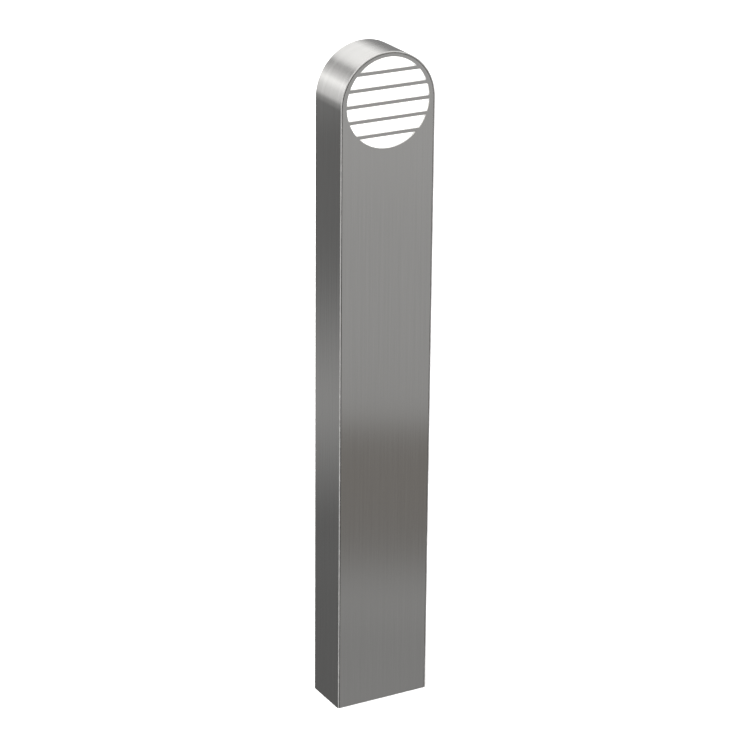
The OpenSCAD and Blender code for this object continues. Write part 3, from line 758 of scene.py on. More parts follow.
@dataclass(frozen=True)
class BrushedSheet:
    """Stainless sheet drawn past a grinding belt: fine parallel scratches in one direction.

    The scratches spread a reflection sideways, so highlights lie across the grain. Real ones are
    under 0.1 mm wide; they are drawn 0.5 to 3 mm wide here so that they show.
    """

    name: str
    dark: str
    light: str
    roughness: float = 0.12
    spread: float = 1.0
    scratch_mm: float = 0.55
    scratch_run_mm: float = 90.0
    streak_mm: float = 3.0
    streak_run_mm: float = 400.0
    relief: float = 0.12

    def make(self) -> bpy.types.Material:
        """Builds the material.

        Returns:
            The finish.
        """
        mix = Recipe(self.name, metal=True)
        uv = mix.put("ShaderNodeUVMap", uv_map="grain").outputs[0]
        fine_at, wide_at = (
            mix.put("ShaderNodeMapping", {0: uv}, {"Scale": (1 / width, 1 / run, 1.0)}).outputs[0]
            for width, run in ((self.scratch_mm, self.scratch_run_mm),
                               (self.streak_mm, self.streak_run_mm))
        )
        fine = mix.noise(1.0, 5.0, 0.65, fine_at)
        wide = mix.noise(1.0, 3.0, 0.5, wide_at)
        both = mix.put("ShaderNodeMix", {2: fine.outputs[0], 3: wide.outputs[0]},
                       {0: 0.4}, data_type="FLOAT").outputs[0]
        mix.tone(both, linear(self.dark), linear(self.light), 0.3, 0.7)
        mix.gloss(both, self.roughness * 0.85, self.roughness * 1.2)
        mix.bump(fine.outputs[0], self.relief, 0.03 * MM)
        tangent = mix.put("ShaderNodeTangent", direction_type="UV_MAP", uv_map="grain")
        mix.feed("Tangent", tangent.outputs[0])
        mix.set("Anisotropic", self.spread)
        return mix.material


@dataclass(frozen=True)
class PlainMetal:
    """Bare or plated metal without a grain: small clouds in its gloss from handling and rolling."""

    name: str
    dark: str
    light: str
    roughness: float
    cloud_mm: float = 6.0
    pit_mm: float = 0.4
    relief: float = 0.1

    def make(self) -> bpy.types.Material:
        """Builds the material.

        Returns:
            The finish.
        """
        mix = Recipe(self.name, metal=True)
        cloud = mix.noise(1000 / self.cloud_mm, 4.0, 0.6).outputs[0]
        mix.tone(cloud, linear(self.dark), linear(self.light), 0.32, 0.68)
        mix.gloss(cloud, self.roughness * 0.8, self.roughness * 1.25)
        mix.bump(mix.noise(1000 / self.pit_mm).outputs[0], self.relief, 0.05 * MM)
        return mix.material


@dataclass(frozen=True)
class GalvanisedSheet:
    """Steel dipped in molten zinc: the zinc sets in flat crystals, each with its own grey."""

    name: str = "hot_dip_galvanised_steel"
    dark: str = "8C9194"
    light: str = "B4B8BA"
    spangle_mm: float = 7.0

    def make(self) -> bpy.types.Material:
        """Builds the material.

        Returns:
            The finish.
        """
        mix = Recipe(self.name, metal=True)
        bend = mix.noise(300.0, 3.0).outputs["Color"]  # cells of about 3 mm
        shove = mix.put("ShaderNodeMix", {6: mix.place, 7: bend}, {0: 0.012}, data_type="RGBA")
        crystal = mix.put("ShaderNodeTexVoronoi", {"Vector": shove.outputs[2]},
                          {"Scale": 1000 / self.spangle_mm})
        grey = mix.put("ShaderNodeSeparateColor", {0: crystal.outputs["Color"]}).outputs
        mix.tone(grey[0], linear(self.dark), linear(self.light))
        mix.gloss(grey[1], 0.36, 0.56, 0.0, 1.0)
        return mix.material


@dataclass(frozen=True)
class WeldSeam:
    """A hand-laid weld: overlapping ripples, tinted straw and blue by the heat."""

    name: str = "tinted_weld"
    blue: str = "5E5A66"
    straw: str = "8E7C5C"
    ripple_mm: float = 1.4

    def make(self) -> bpy.types.Material:
        """Builds the material.

        Returns:
            The finish.
        """
        mix = Recipe(self.name, metal=True)
        ripple = mix.put("ShaderNodeTexWave", {"Vector": mix.place},
                         {"Scale": WAVE_SCALE / self.ripple_mm, "Distortion": 2.5, "Detail": 2.0},
                         bands_direction="Z", wave_profile="SAW")
        heat = mix.noise(140.0).outputs[0]  # clouds of about 7 mm
        mix.tone(heat, linear(self.blue), linear(self.straw))
        mix.bump(ripple.outputs[1], 0.6, 0.2 * MM)
        mix.set("Roughness", 0.45)
        return mix.material


class Grain(Enum):
    """How a moulded or coated surface is broken up: the bump's strength and its depth in mm."""

    MATT = (0.35, 0.06)
    SATIN = (0.15, 0.04)
    ORANGE_PEEL = (0.3, 0.08)
    GLAZE = (0.06, 0.05)


@dataclass(frozen=True)
class Moulded:
    """Plastic, rubber, powder coat or glaze: one colour, broken up by its mould, spray or firing.

    Matt and satin pieces have the mould's fine grain. A powder coat flows into low waves, and a
    glaze is smooth and glossy over a slightly uneven body.
    """

    name: str
    colour: str
    roughness: float
    grain: Grain = Grain.SATIN
    grain_mm: float = 0.5
    glow: float = 0.0
    scatter: float = 0.0

    def make(self) -> bpy.types.Material:
        """Builds the material.

        Returns:
            The finish.
        """
        mix = Recipe(self.name)
        strength, depth = self.grain.value
        grains = mix.noise(1000 / self.grain_mm, 3.0, 0.55).outputs[0]
        cloud = mix.noise(45.0, 3.0, 0.6).outputs[0]  # clouds of about 22 mm
        base = linear(self.colour)[:3]
        dark, light = ((*(min(c * share, 1.0) for c in base), 1.0) for share in (0.93, 1.04))
        mix.tone(cloud, dark, light, 0.3, 0.7)
        mix.gloss(cloud, self.roughness * 0.88, min(self.roughness * 1.12, 1.0))
        mix.bump(grains, strength, depth * MM)
        if self.grain is Grain.GLAZE:
            mix.set("Coat Weight", 0.6)
            mix.set("Coat Roughness", 0.04)
        if self.scatter:
            mix.set("Subsurface Weight", self.scatter)
            mix.set("Subsurface Radius", (0.003, 0.003, 0.003))
        if self.glow:
            mix.set("Emission Color", (1.0, 0.99, 0.97, 1.0))
            mix.set("Emission Strength", self.glow)
        return mix.material


@dataclass(frozen=True)
class StripedInsulation:
    """Earth wire insulation: green PVC with a yellow stripe twisted round it."""

    name: str = "green_and_yellow_pvc"
    green: str = "2F8F3A"
    yellow: str = "E3C81E"
    twist_mm: float = 14.0

    def make(self) -> bpy.types.Material:
        """Builds the material.

        Returns:
            The finish.
        """
        mix = Recipe(self.name)
        wave = mix.put("ShaderNodeTexWave", {"Vector": mix.place},
                       {"Scale": WAVE_SCALE / self.twist_mm, "Distortion": 0.6},
                       bands_direction="DIAGONAL")
        tone = mix.put("ShaderNodeValToRGB", {0: wave.outputs[1]})
        tone.color_ramp.interpolation = "CONSTANT"
        tone.color_ramp.elements[0].color = linear(self.green)
        tone.color_ramp.elements[1].position = 0.55
        tone.color_ramp.elements[1].color = linear(self.yellow)
        mix.set("Roughness", 0.4)
        mix.feed("Base Color", tone.outputs[0])
        return mix.material


class Palette:
    """Every finish of the light, each made once."""

    def __init__(self) -> None:
        """Builds the finishes."""
        metal, plastic = PlainMetal, Moulded
        self.band = BrushedSheet("brushed_stainless_band", "B1B0AE", "C3C2C0").make()
        self.panel = BrushedSheet(
            "brushed_stainless_panel", "B6B5B3", "BEBDBB", relief=0.06
        ).make()
        # Cut edges: ground rougher, and toned far lighter than the sheet; the lighter tone is a
        # painted highlight.
        self.edge = metal("ground_edge_painted_highlight", "DEDDDB", "F2F1EF", 0.55, 8.0).make()
        self.steel = metal("mill_finish_stainless", "8D8C8A", "B0AFAD", 0.34).make()
        self.bright = metal("turned_stainless_fixing", "A9A8A6", "CFCECC", 0.22, 3.0).make()
        self.zinc = metal("bright_zinc_plate", "B2B6BA", "D2D5D8", 0.28, 5.0).make()
        self.brass = metal("plain_brass", "A8843F", "D0AC62", 0.3, 5.0).make()
        self.nickel = metal("nickel_plated_cap", "B5B2AA", "D8D5CE", 0.2, 4.0).make()
        self.galvanised = GalvanisedSheet().make()
        self.weld = WeldSeam().make()
        # The diffuser's glow is painted light, standing in for the lamp shining through the opal
        # sheet.
        self.opal = plastic("opal_acrylic", "F6F6F4", 0.3, Grain.SATIN, 0.8, 0.45).make()
        self.globe = plastic("opal_lamp_globe", "F4F3EF", 0.22, Grain.SATIN, 1.0, 0.2, 0.3).make()
        self.coat = plastic("white_powder_coat", "ECECE8", 0.32, Grain.ORANGE_PEEL, 1.6).make()
        self.lamp_white = plastic("white_lamp_plastic", "E8E8E4", 0.38, grain_mm=0.6).make()
        self.rubber = plastic("moulded_epdm_rubber", "1E1E1F", 0.7, Grain.MATT).make()
        self.sheath = plastic("rubber_cable_sheath", "19191A", 0.55, Grain.MATT, 0.7).make()
        self.gland = plastic("grey_polyamide", "6B6E71", 0.45, grain_mm=0.4).make()
        self.box = plastic("light_grey_polycarbonate", "C3C5C6", 0.36).make()
        self.natural = plastic("natural_polyamide", "DEDACB", 0.42).make()
        self.porcelain = plastic("glazed_porcelain", "EFEBDF", 0.16, Grain.GLAZE, 2.5).make()
        self.black_glass = plastic("black_glass_insulator", "0D0D0F", 0.08, Grain.GLAZE, 2.0).make()
        self.board = plastic("white_masked_board", "E6E8E2", 0.35, grain_mm=0.6).make()
        self.earth = StripedInsulation().make()


# ---- Making and handing over pieces ------------------------------------------------------------


@dataclass
class Shop:
    """Hands finished pieces over to the frame, and keeps a log of them."""

    palette: Palette
    made: list[str] = field(default_factory=list)

    def hand_over(
        self, piece: bpy.types.Object, body: str, nodes: Sequence[str], slot: str
    ) -> bpy.types.Object:
        """Rides a piece on its body, in place of its CAD nodes.

        Args:
            piece: The finished piece.
            body: The CAD body it moves with.
            nodes: The CAD nodes it stands for.
            slot: The record's material slot. Not used.

        Returns:
            The piece.
        """
        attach(piece, body)
        if nodes:
            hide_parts(*nodes)
        self.made.append(piece.name)
        log.info("%s: %d faces on %s", piece.name, len(piece.data.polygons), body)
        return piece

    def repaint(self, finish: bpy.types.Material, *nodes: str) -> None:
        """Gives CAD nodes whose shape is already right their finish.

        Args:
            finish: The material.
            nodes: The CAD nodes.
        """
        for node in nodes:
            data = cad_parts[node].data
            data.materials.clear()
            data.materials.append(finish)
            log.info("%s keeps its CAD shape in %s", node, finish.name)

    def eased(
        self,
        node: str,
        finish: bpy.types.Material,
        width: float,
        slot: str,
        body: str = "housing",
        across_along: Callable[[Vector], tuple[float, float]] | None = None,
    ) -> bpy.types.Object:
        """Makes a CAD node's shape again with its sharp edges eased.

        Args:
            node: The CAD node.
            finish: Its material.
            width: The bevel's width.
            slot: The record's material slot.
            body: The CAD body it moves with.
            across_along: The grain map, if the metal has a grain.

        Returns:
            The piece that stands for the node.
        """
        host = linked(f"{node}_host", merged_copy(node))
        bevel = host.modifiers.new("eased", "BEVEL")
        bevel.width = width
        bevel.segments = 2
        bevel.limit_method = "ANGLE"
        bevel.angle_limit = math.radians(35)
        bevel.use_clamp_overlap = True
        piece = baked(host, f"{node}_look")
        shade(piece.data, 40)
        piece.data.materials.clear()
        piece.data.materials.append(finish)
        if across_along:
            grain_map(piece.data, across_along)
        return self.hand_over(piece, body, [node], slot)

    def threads(
        self,
        name: str,
        seats: Sequence[Seat],
        radius: float,
        pitch: float,
        length: float,
        finish: bpy.types.Material,
        slot: str,
        body: str = "housing",
    ) -> None:
        """Winds a thread on from every seat.

        Args:
            name: The piece's name.
            seats: Where each thread starts, pointing the way it runs.
            radius: The core's radius.
            pitch: The thread's pitch.
            length: How far it runs.
            finish: Its material.
            slot: The record's material slot.
            body: The CAD body it moves with.
        """
        coils = thread_tree().grow(
            name, {"Radius": radius - RIDGE_SINK * pitch, "Pitch": pitch, "Length": length,
                   "Finish": finish}, seats
        )
        shade(coils.data, 60)
        self.hand_over(coils, body, [], slot)

    def nuts(
        self,
        node: str,
        ways: Callable[[Vector], Way],
        bore: float,
        finish: bpy.types.Material,
        slot: str,
        collar: float = 0.0,
    ) -> None:
        """Makes a CAD node's hexagon nuts again, with chamfers.

        Args:
            node: The CAD node.
            ways: Gives the way a nut's free face points, for its middle.
            bore: The bore's radius.
            finish: Its material.
            slot: The record's material slot.
            collar: The radius of the nut's round flange, if it has one.
        """
        seats: dict[tuple[float, ...], list[Seat]] = {}
        for low, high in islands(node):
            middle = (low + high) / 2
            way = ways(middle)
            axis = {Way.RIGHT: 0, Way.LEFT: 0, Way.REAR: 1, Way.FRONT: 1}.get(way, 2)
            size = high - low
            first, second = ((size.z, size.y), (size.x, size.z), (size.x, size.y))[axis]
            spot = middle.copy()
            spot[axis] = (low if way in (Way.UP, Way.REAR, Way.RIGHT) else high)[axis]
            across = 2 * collar * FLANGED_NUT if collar else min(first, second)
            spin = 0.0 if collar or first > second else math.pi / 6
            key = (round(across, 5), round(size[axis], 5), round(spin, 3))
            seats.setdefault(key, []).append(Seat(spot, way))
        for i, ((across, height, spin), group) in enumerate(sorted(seats.items())):
            piece = nut_tree().grow(
                f"{node}_look_{i}" if i else f"{node}_look",
                {"Across": across, "Height": height,
                 "Bore": min(bore, across * NUT_WIDEST_BORE),
                 "Collar": max(collar, across * NUT_FACE),
                 "Rim": 1.0 * MM if collar else NUT_FACE_RISE,
                 "Spin": spin, "Finish": finish},
                group,
            )
            shade(piece.data, 25)
            self.hand_over(piece, "housing", [node] if i == 0 else [], slot)


def upright(spot: Vector) -> tuple[float, float]:
    """The grain of a flat panel: across is X and along is Z."""
    return spot.x, spot.z


# ---- Housing -----------------------------------------------------------------------------------


@dataclass
class Housing:
    """The side band with its two flat panels.

    A face of the band that leans this far to the front or the rear is its cut edge.
    """

    shop: Shop
    cut_lean: float = 0.35
    edge_radius: float = 0.6 * MM
    panel_edge: float = 0.18 * MM
    bars: int = 5
    bar_height: float = 5.0 * MM
    bar_pitch: float = 22.5 * MM
    window_rim: float = 9.5 * MM
    window_lift: float = 2.0 * MM
    socket: float = 2.5 * MM
    shank: float = 1.7 * MM
    screw_pitch: float = 0.7 * MM
    hole: float = 2.3 * MM
    arc_steps: int = 144
    slot_steps: int = 40

    def __post_init__(self) -> None:
        """Reads the housing's measures from the CAD model."""
        low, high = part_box("side_band")
        self.width = high.x - low.x
        self.depth = high.y - low.y
        self.height = high.z - low.z
        self.spring = self.height - self.width / 2
        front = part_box("front_panel")
        self.sheet = front[1].y - front[0].y
        self.panel_half = front[1].x
        self.window = self.width / 2 - self.window_rim

    def build(self) -> None:
        """Builds the band, the front panel, the rear cover and the screws."""
        self.side_band()
        self.front_panel()
        self.rear_cover()
        self.cover_screws()

    def band_grain(self, spot: Vector) -> tuple[float, float]:
        """The band's grain: across is Y, and along follows the bend.

        Args:
            spot: A point of the band.

        Returns:
            The lengths across and along. The far leg starts 0.3 m off, so its scratches differ.
        """
        if spot.z <= self.spring:
            return spot.y, spot.z if spot.x < 0 else -spot.z - 0.3
        return spot.y, self.spring + math.atan2(spot.z - self.spring, -spot.x) * self.width / 2

    def side_band(self) -> None:
        """The band, swept by its tree. Its cut edges are ground, and get their own finish: rougher,
        and far lighter than the sheet as a painted highlight.
        """
        piece = band_tree().grow(
            "side_band_look",
            {"Height": self.height, "Width": self.width, "Depth": self.depth,
             "Sheet": self.sheet, "Edge": self.edge_radius, "Finish": self.shop.palette.band},
        )
        outward(piece.data)
        shade(piece.data, 50)
        grain_map(piece.data, self.band_grain)
        # The cut edges take the lighter finish, a painted highlight along the rounded edge.
        piece.data.materials.append(self.shop.palette.edge)
        for face in piece.data.polygons:
            if abs(face.normal.y) > self.cut_lean:
                face.material_index = 1
        self.shop.hand_over(piece, "housing", ["side_band"], "band_steel")

    def arch(self, half: float, foot: float) -> list[tuple[float, float]]:
        """A panel's outline.

        Args:
            half: Half its width.
            foot: Its lower edge.

        Returns:
            Points in X and Z, anticlockwise.
        """
        turns = [math.pi * i / self.arc_steps for i in range(self.arc_steps + 1)]
        head = [(half * math.cos(t), self.spring + half * math.sin(t)) for t in turns]
        return [(-half, foot), (half, foot), *head]

    def slots(self) -> list[list[tuple[float, float]]]:
        """The openings left between the bars.

        Returns:
            One outline for each opening.
        """
        middle = (self.bars - 1) / 2
        cuts = [-self.window]
        for i in range(self.bars):
            level = (i - middle) * self.bar_pitch
            cuts += [level - self.bar_height / 2, level + self.bar_height / 2]
        cuts.append(self.window)
        found = []
        for low, high in zip(cuts[::2], cuts[1::2]):
            a = math.asin(max(-1.0, low / self.window))
            b = math.asin(min(1.0, high / self.window))
            right = [a + (b - a) * i / self.slot_steps for i in range(self.slot_steps + 1)]
            ring = [(self.window * math.cos(t), self.window * math.sin(t)) for t in right]
            ring += [(-x, z) for x, z in reversed(ring)]
            kept = [p for p, q in zip(ring, ring[1:] + ring[:1]) if math.dist(p, q) > 1e-6]
            found.append([(x, z + self.spring + self.window_lift) for x, z in kept])
        return found

    def plate(
        self, name: str, outlines: Sequence[Sequence[tuple[float, float]]], y: float
    ) -> bpy.types.Object:
        """Makes a flat sheet with openings and eased edges.

        Args:
            name: The piece's name.
            outlines: The outer outline, then each opening's.
            y: The sheet's middle.

        Returns:
            The piece.
        """
        curve = bpy.data.curves.new(name, "CURVE")
        curve.dimensions = "2D"
        curve.fill_mode = "BOTH"
        for outline in outlines:
            spline = curve.splines.new("POLY")
            spline.points.add(len(outline) - 1)
            for point, (x, z) in zip(spline.points, outline):
                point.co = (x, z, 0, 1)
            spline.use_cyclic_u = True
        curve.extrude = self.sheet / 2 - self.panel_edge
        curve.bevel_depth = self.panel_edge
        curve.bevel_resolution = 2
        curve.offset = -self.panel_edge
        piece = baked(linked(f"{name}_host", curve), name)
        piece.data.transform(Matrix.Rotation(math.pi / 2, 4, "X"))
        piece.data.transform(Matrix.Translation((0, y, 0)))
        outward(piece.data)
        shade(piece.data, 40)
        return piece

    def dressed(self, piece: bpy.types.Object, body: str, node: str) -> None:
        """Gives a panel its grain and its finish and hands it over.

        Args:
            piece: The panel.
            body: The CAD body it moves with.
            node: The CAD node it stands for.
        """
        grain_map(piece.data, upright)
        piece.data.materials.clear()
        piece.data.materials.append(self.shop.palette.panel)
        self.shop.hand_over(piece, body, [node], "panel_steel")

    def front_panel(self) -> None:
        """The front panel with its louvred window."""
        low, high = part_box("front_panel")
        piece = self.plate(
            "front_panel_look",
            [self.arch(self.panel_half, low.z), *self.slots()],
            (low.y + high.y) / 2,
        )
        self.dressed(piece, "housing", "front_panel")

    def rear_cover(self) -> None:
        """The rear cover, countersunk for its screws."""
        low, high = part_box("rear_cover")
        piece = self.plate(
            "rear_cover_plate", [self.arch(self.panel_half, low.z)], (low.y + high.y) / 2
        )
        cutter = bmesh.new()
        for box in islands("cover_screws"):
            spot = centre(box)
            head = (box[1].x - box[0].x) / 2 + 0.1 * MM
            turn = Matrix.Rotation(-math.pi / 2, 4, "X")
            for r1, r2, start, end in (
                (head - 2 * MM, head + 1 * MM, high.y - 2 * MM, high.y + 1 * MM),
                (self.hole, self.hole, low.y - 1 * MM, high.y - 0.5 * MM),
            ):
                place = Matrix.Translation((spot.x, (start + end) / 2, spot.z)) @ turn
                bmesh.ops.create_cone(
                    cutter, cap_ends=True, segments=48, radius1=r1, radius2=r2,
                    depth=end - start, matrix=place,
                )
        mesh = bpy.data.meshes.new("cover_cutter")
        cutter.to_mesh(mesh)
        cutter.free()
        tool = linked("cover_cutter", mesh)
        drill = piece.modifiers.new("drill", "BOOLEAN")
        drill.operation = "DIFFERENCE"
        drill.solver = "EXACT"
        drill.use_self = True
        drill.object = tool
        piece = baked(piece, "rear_cover_look")
        bpy.data.objects.remove(tool)
        shade(piece.data, 40)
        self.dressed(piece, "rear_cover", "rear_cover")

    def cover_screws(self) -> None:
        """The countersunk cover screws with their threads, which leave with the cover."""
        boxes = islands("cover_screws")
        head = (boxes[0][1].x - boxes[0][0].x) / 2
        back = boxes[0][1].y
        sink = head - self.shank
        seats = [
            Seat(Vector((centre(b).x, back - sink, centre(b).z)), Way.REAR) for b in boxes
        ]
        length = back - sink - boxes[0][0].y
        piece = socket_screw_tree().grow(
            "cover_screws_look",
            {"Head": head, "Sink": sink, "Shank": self.shank, "Length": length,
             "Socket": self.socket, "Finish": self.shop.palette.bright},
            seats,
        )
        shade(piece.data, 40)
        self.shop.hand_over(piece, "rear_cover", ["cover_screws"], "plain_steel")
        tips = [Seat(s.spot, Way.FRONT) for s in seats]
        self.shop.threads("cover_screw_threads", tips, self.shank, self.screw_pitch,
                          length - 0.6 * MM, self.shop.palette.bright, "plain_steel",
                          "rear_cover")


# ---- Behind the window -------------------------------------------------------------------------


@dataclass
class LensStack:
    """The diffuser between its two seals, and the clip and nuts that hold the tray."""

    shop: Shop
    edge: float = 0.4 * MM
    nut_bore: float = 2.05 * MM
    stud: float = 1.9 * MM
    stud_pitch: float = 0.7 * MM
    stud_tip: float = 0.5 * MM

    def build(self) -> None:
        """Builds the stack."""
        look = self.shop.palette
        self.shop.eased("diffuser", look.opal, self.edge, "opal")
        self.shop.eased("window_seal", look.rubber, 0.3 * MM, "seal_rubber")
        self.shop.repaint(look.rubber, "tray_seal")
        self.shop.eased("crown_clip", look.steel, 0.2 * MM, "plain_steel")
        self.shop.nuts("tray_nuts", lambda c: Way.REAR, self.nut_bore, look.zinc, "zinc_steel")
        self.shop.repaint(look.zinc, "panel_studs")
        studs = islands("panel_studs")
        seats = [Seat(Vector((centre(b).x, b[0].y + self.stud_tip, centre(b).z)), Way.REAR)
                 for b in studs]
        run = min(b[1].y - b[0].y for b in studs) - 2 * self.stud_tip
        self.shop.threads("panel_stud_threads", seats, self.stud, self.stud_pitch, run,
                          look.zinc, "zinc_steel")
        self.shop.repaint(look.weld, "weld_beads")
        self.shop.eased("rear_lugs", look.steel, 0.25 * MM, "plain_steel")
        self.shop.nuts("lug_nuts", lambda c: Way.FRONT, self.nut_bore, look.zinc, "zinc_steel")


@dataclass
class LampTray:
    """The white tray round the lamp, its bracket and the bracket's rivets."""

    shop: Shop

    def build(self) -> None:
        """Builds the tray."""
        look = self.shop.palette
        self.shop.eased("lamp_tray", look.coat, 0.35 * MM, "tray_white")
        self.shop.eased("holder_bracket", look.steel, 0.3 * MM, "plain_steel")
        self.shop.eased("bracket_rivets", look.zinc, 0.45 * MM, "zinc_steel")


@dataclass
class LampHolder:
    """The porcelain holder with its brass shell, contact and screws."""

    shop: Shop
    screw_rise: float = 2.0 * MM
    screw_shank: float = 1.45 * MM
    screw_slot: float = 0.8 * MM

    def build(self) -> None:
        """Builds the holder."""
        look = self.shop.palette
        self.shop.eased("lamp_holder", look.porcelain, 1.0 * MM, "porcelain")
        self.shop.repaint(look.brass, "holder_shell", "holder_contact")
        boxes = islands("holder_screws")
        seats = [Seat(Vector((centre(b).x, centre(b).y, b[0].z + self.screw_rise)), Way.DOWN)
                 for b in boxes]
        piece = slotted_screw_tree().grow(
            "holder_screws_look",
            {"Head": (boxes[0][1].x - boxes[0][0].x) / 2, "Rise": self.screw_rise,
             "Shank": self.screw_shank, "Slot": self.screw_slot, "Finish": look.zinc,
             "Length": boxes[0][1].z - boxes[0][0].z - self.screw_rise},
            seats,
        )
        shade(piece.data, 35)
        self.shop.hand_over(piece, "housing", ["holder_screws"], "zinc_steel")


@dataclass
class Lamp:
    """The screw-in lamp."""

    shop: Shop
    pitch: float = 3.63 * MM
    crest: float = 1.15 * MM
    globe_wall: float = 1.2 * MM
    globe_steps: int = 40
    globe_sides: int = 72

    def build(self) -> None:
        """Builds the lamp, all on its own body."""
        look = self.shop.palette
        low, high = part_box("lamp_cap")
        middle = (low + high) / 2
        piece = edison_tree().grow(
            "lamp_cap_look",
            {"Radius": (high.x - low.x) / 2, "Pitch": self.pitch, "Height": high.z - low.z,
             "Crest": self.crest, "Finish": look.nickel},
            [Seat(middle, Way.UP)],
        )
        shade(piece.data, 40)
        self.shop.hand_over(piece, "lamp", ["lamp_cap"], "lamp_metal")
        self.shop.eased("lamp_body", look.lamp_white, 0.5 * MM, "lamp_white", "lamp")
        self.shop.eased("lamp_insulator", look.black_glass, 0.2 * MM, "lamp_black", "lamp")
        self.shop.repaint(look.brass, "lamp_contact")
        self.shop.repaint(look.board, "led_board")
        self.globe()

    def globe(self) -> None:
        """The opal globe, turned about the lamp's axis as one closed skin."""
        low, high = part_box("lamp_globe")
        outer = (high.x - low.x) / 2
        level = high.z - outer
        arcs = []
        for radius in (outer, outer - self.globe_wall):
            start = math.asin((low.z - level) / radius)
            turns = [start + (math.pi / 2 - start) * i / self.globe_steps
                     for i in range(self.globe_steps)]
            arcs.append([(radius * math.cos(t), radius * math.sin(t)) for t in turns]
                        + [(0.0, radius)])
        line = arcs[0] + arcs[1][::-1]
        shape = bmesh.new()
        spot = (low + high) / 2
        around = self.globe_sides
        rings: list[list[bmesh.types.BMVert]] = []
        for reach, rise in line:
            count = 1 if reach == 0.0 else around
            rings.append([
                shape.verts.new((
                    spot.x + reach * math.cos(math.tau * i / around),
                    spot.y + reach * math.sin(math.tau * i / around),
                    level + rise,
                ))
                for i in range(count)
            ])
        for a, b in zip(rings, rings[1:] + rings[:1]):
            if len(a) == 1 and len(b) == 1:
                continue
            for i in range(around):
                j = (i + 1) % around
                corners = [a[i % len(a)], a[j % len(a)], b[j % len(b)], b[i % len(b)]]
                shape.faces.new(list(dict.fromkeys(corners)))
        bmesh.ops.recalc_face_normals(shape, faces=shape.faces)
        mesh = bpy.data.meshes.new("lamp_globe_look")
        shape.to_mesh(mesh)
        shape.free()
        mesh.materials.append(self.shop.palette.globe)
        shade(mesh, 60)
        self.shop.hand_over(linked("lamp_globe_look", mesh), "lamp", ["lamp_globe"], "opal")


# ---- Glands ------------------------------------------------------------------------------------


@dataclass
class Glands:
    """The five cable glands: bodies, ribbed caps, locknuts and seals.

    Each size has its width across the flats, and the radius of its thread. A rib is sunk by a
    share of its own radius and runs over a share of the cap's height, and their number goes by
    the cap's width.
    """

    shop: Shop
    rib: float = 0.5 * MM
    rib_gap: float = 0.4 * MM
    rib_sink: float = 0.55
    rib_share: float = 0.62
    ribs_per_mm: float = 1.7
    thread_tip: float = 0.2 * MM
    pitch: float = 0.9 * MM
    run: float = 3.0 * MM
    play: float = 0.1 * MM
    sizes: tuple[tuple[float, float], ...] = (
        (15 * MM, 6 * MM), (19 * MM, 8 * MM), (24 * MM, 10 * MM)
    )

    def build(self) -> None:
        """Builds the glands."""
        look = self.shop.palette
        for node in ("tray_gland_body", "box_gland_bodies", "tray_gland_cap", "box_gland_caps"):
            self.shop.eased(node, look.gland, 0.35 * MM, "gland_grey")
        self.shop.repaint(look.rubber, "gland_seals")
        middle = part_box("box_base")
        level = (middle[0].z + middle[1].z) / 2
        self.ribs("tray_gland_cap", lambda c: Way.DOWN)
        self.ribs("box_gland_caps", lambda c: Way.UP if c.z > level else Way.DOWN)
        self.locknuts("tray_gland_nut", lambda c: Way.UP)
        self.locknuts("box_gland_nuts", lambda c: Way.DOWN if c.z > level else Way.UP)
        self.coils("tray_gland_body", lambda c: Way.UP)
        self.coils("box_gland_bodies", lambda c: Way.DOWN if c.z > level else Way.UP)

    def radius(self, across: float) -> float:
        """The thread radius of the size whose width across the flats is nearest."""
        return min(self.sizes, key=lambda size: abs(size[0] - across))[1]

    def ribs(self, node: str, way: Callable[[Vector], Way]) -> None:
        """Sets grip ribs on the flats of a node's caps.

        Args:
            node: The CAD node.
            way: Gives the way a cap's free end points, for its middle.
        """
        for i, (low, high) in enumerate(islands(node)):
            spot = (low + high) / 2
            out = way(spot)
            across = min(high.x - low.x, high.y - low.y)
            spot.z = low.z + self.rib_gap if out is Way.UP else high.z - self.rib_gap
            piece = rib_tree().grow(
                f"{node}_ribs_{i}",
                {"Ring": across / 2 - self.rib * self.rib_sink, "Rib": self.rib,
                 "Height": (high.z - low.z) * self.rib_share,
                 "Count": round(across / MM * self.ribs_per_mm),
                 "Finish": self.shop.palette.gland},
                [Seat(spot, out)],
            )
            shade(piece.data, 50)
            self.shop.hand_over(piece, "housing", [], "gland_grey")

    def locknuts(self, node: str, way: Callable[[Vector], Way]) -> None:
        """Makes the flat nuts inside the walls, each with its own bore.

        Args:
            node: The CAD node.
            way: Gives the way a nut's free face points, for its middle.
        """
        for i, (low, high) in enumerate(islands(node)):
            size = high - low
            across = min(size.x, size.y)
            spot = (low + high) / 2
            out = way(spot)
            spot.z = low.z if out is Way.UP else high.z
            piece = nut_tree().grow(
                f"{node}_look_{i}",
                {"Across": across, "Height": size.z, "Bore": self.radius(across) + self.play,
                 "Collar": across * NUT_FACE, "Rim": NUT_FACE_RISE,
                 "Spin": 0.0 if size.x > size.y else math.pi / 6,
                 "Finish": self.shop.palette.gland},
                [Seat(spot, out)],
            )
            shade(piece.data, 25)
            self.shop.hand_over(piece, "housing", [node] if i == 0 else [], "gland_grey")

    def coils(self, node: str, way: Callable[[Vector], Way]) -> None:
        """Winds the thread that stands inside the wall on each body.

        Args:
            node: The CAD node.
            way: Gives the way into the wall, for a body's middle.
        """
        for i, (low, high) in enumerate(islands(node)):
            spot = (low + high) / 2
            inward = way(spot)
            back = self.run + self.thread_tip
            spot.z = high.z - back if inward is Way.UP else low.z + back
            across = min(high.x - low.x, high.y - low.y)
            self.shop.threads(f"{node}_thread_{i}", [Seat(spot, inward)], self.radius(across),
                              self.pitch, self.run, self.shop.palette.gland, "gland_grey")


# ---- Foot and gear -----------------------------------------------------------------------------


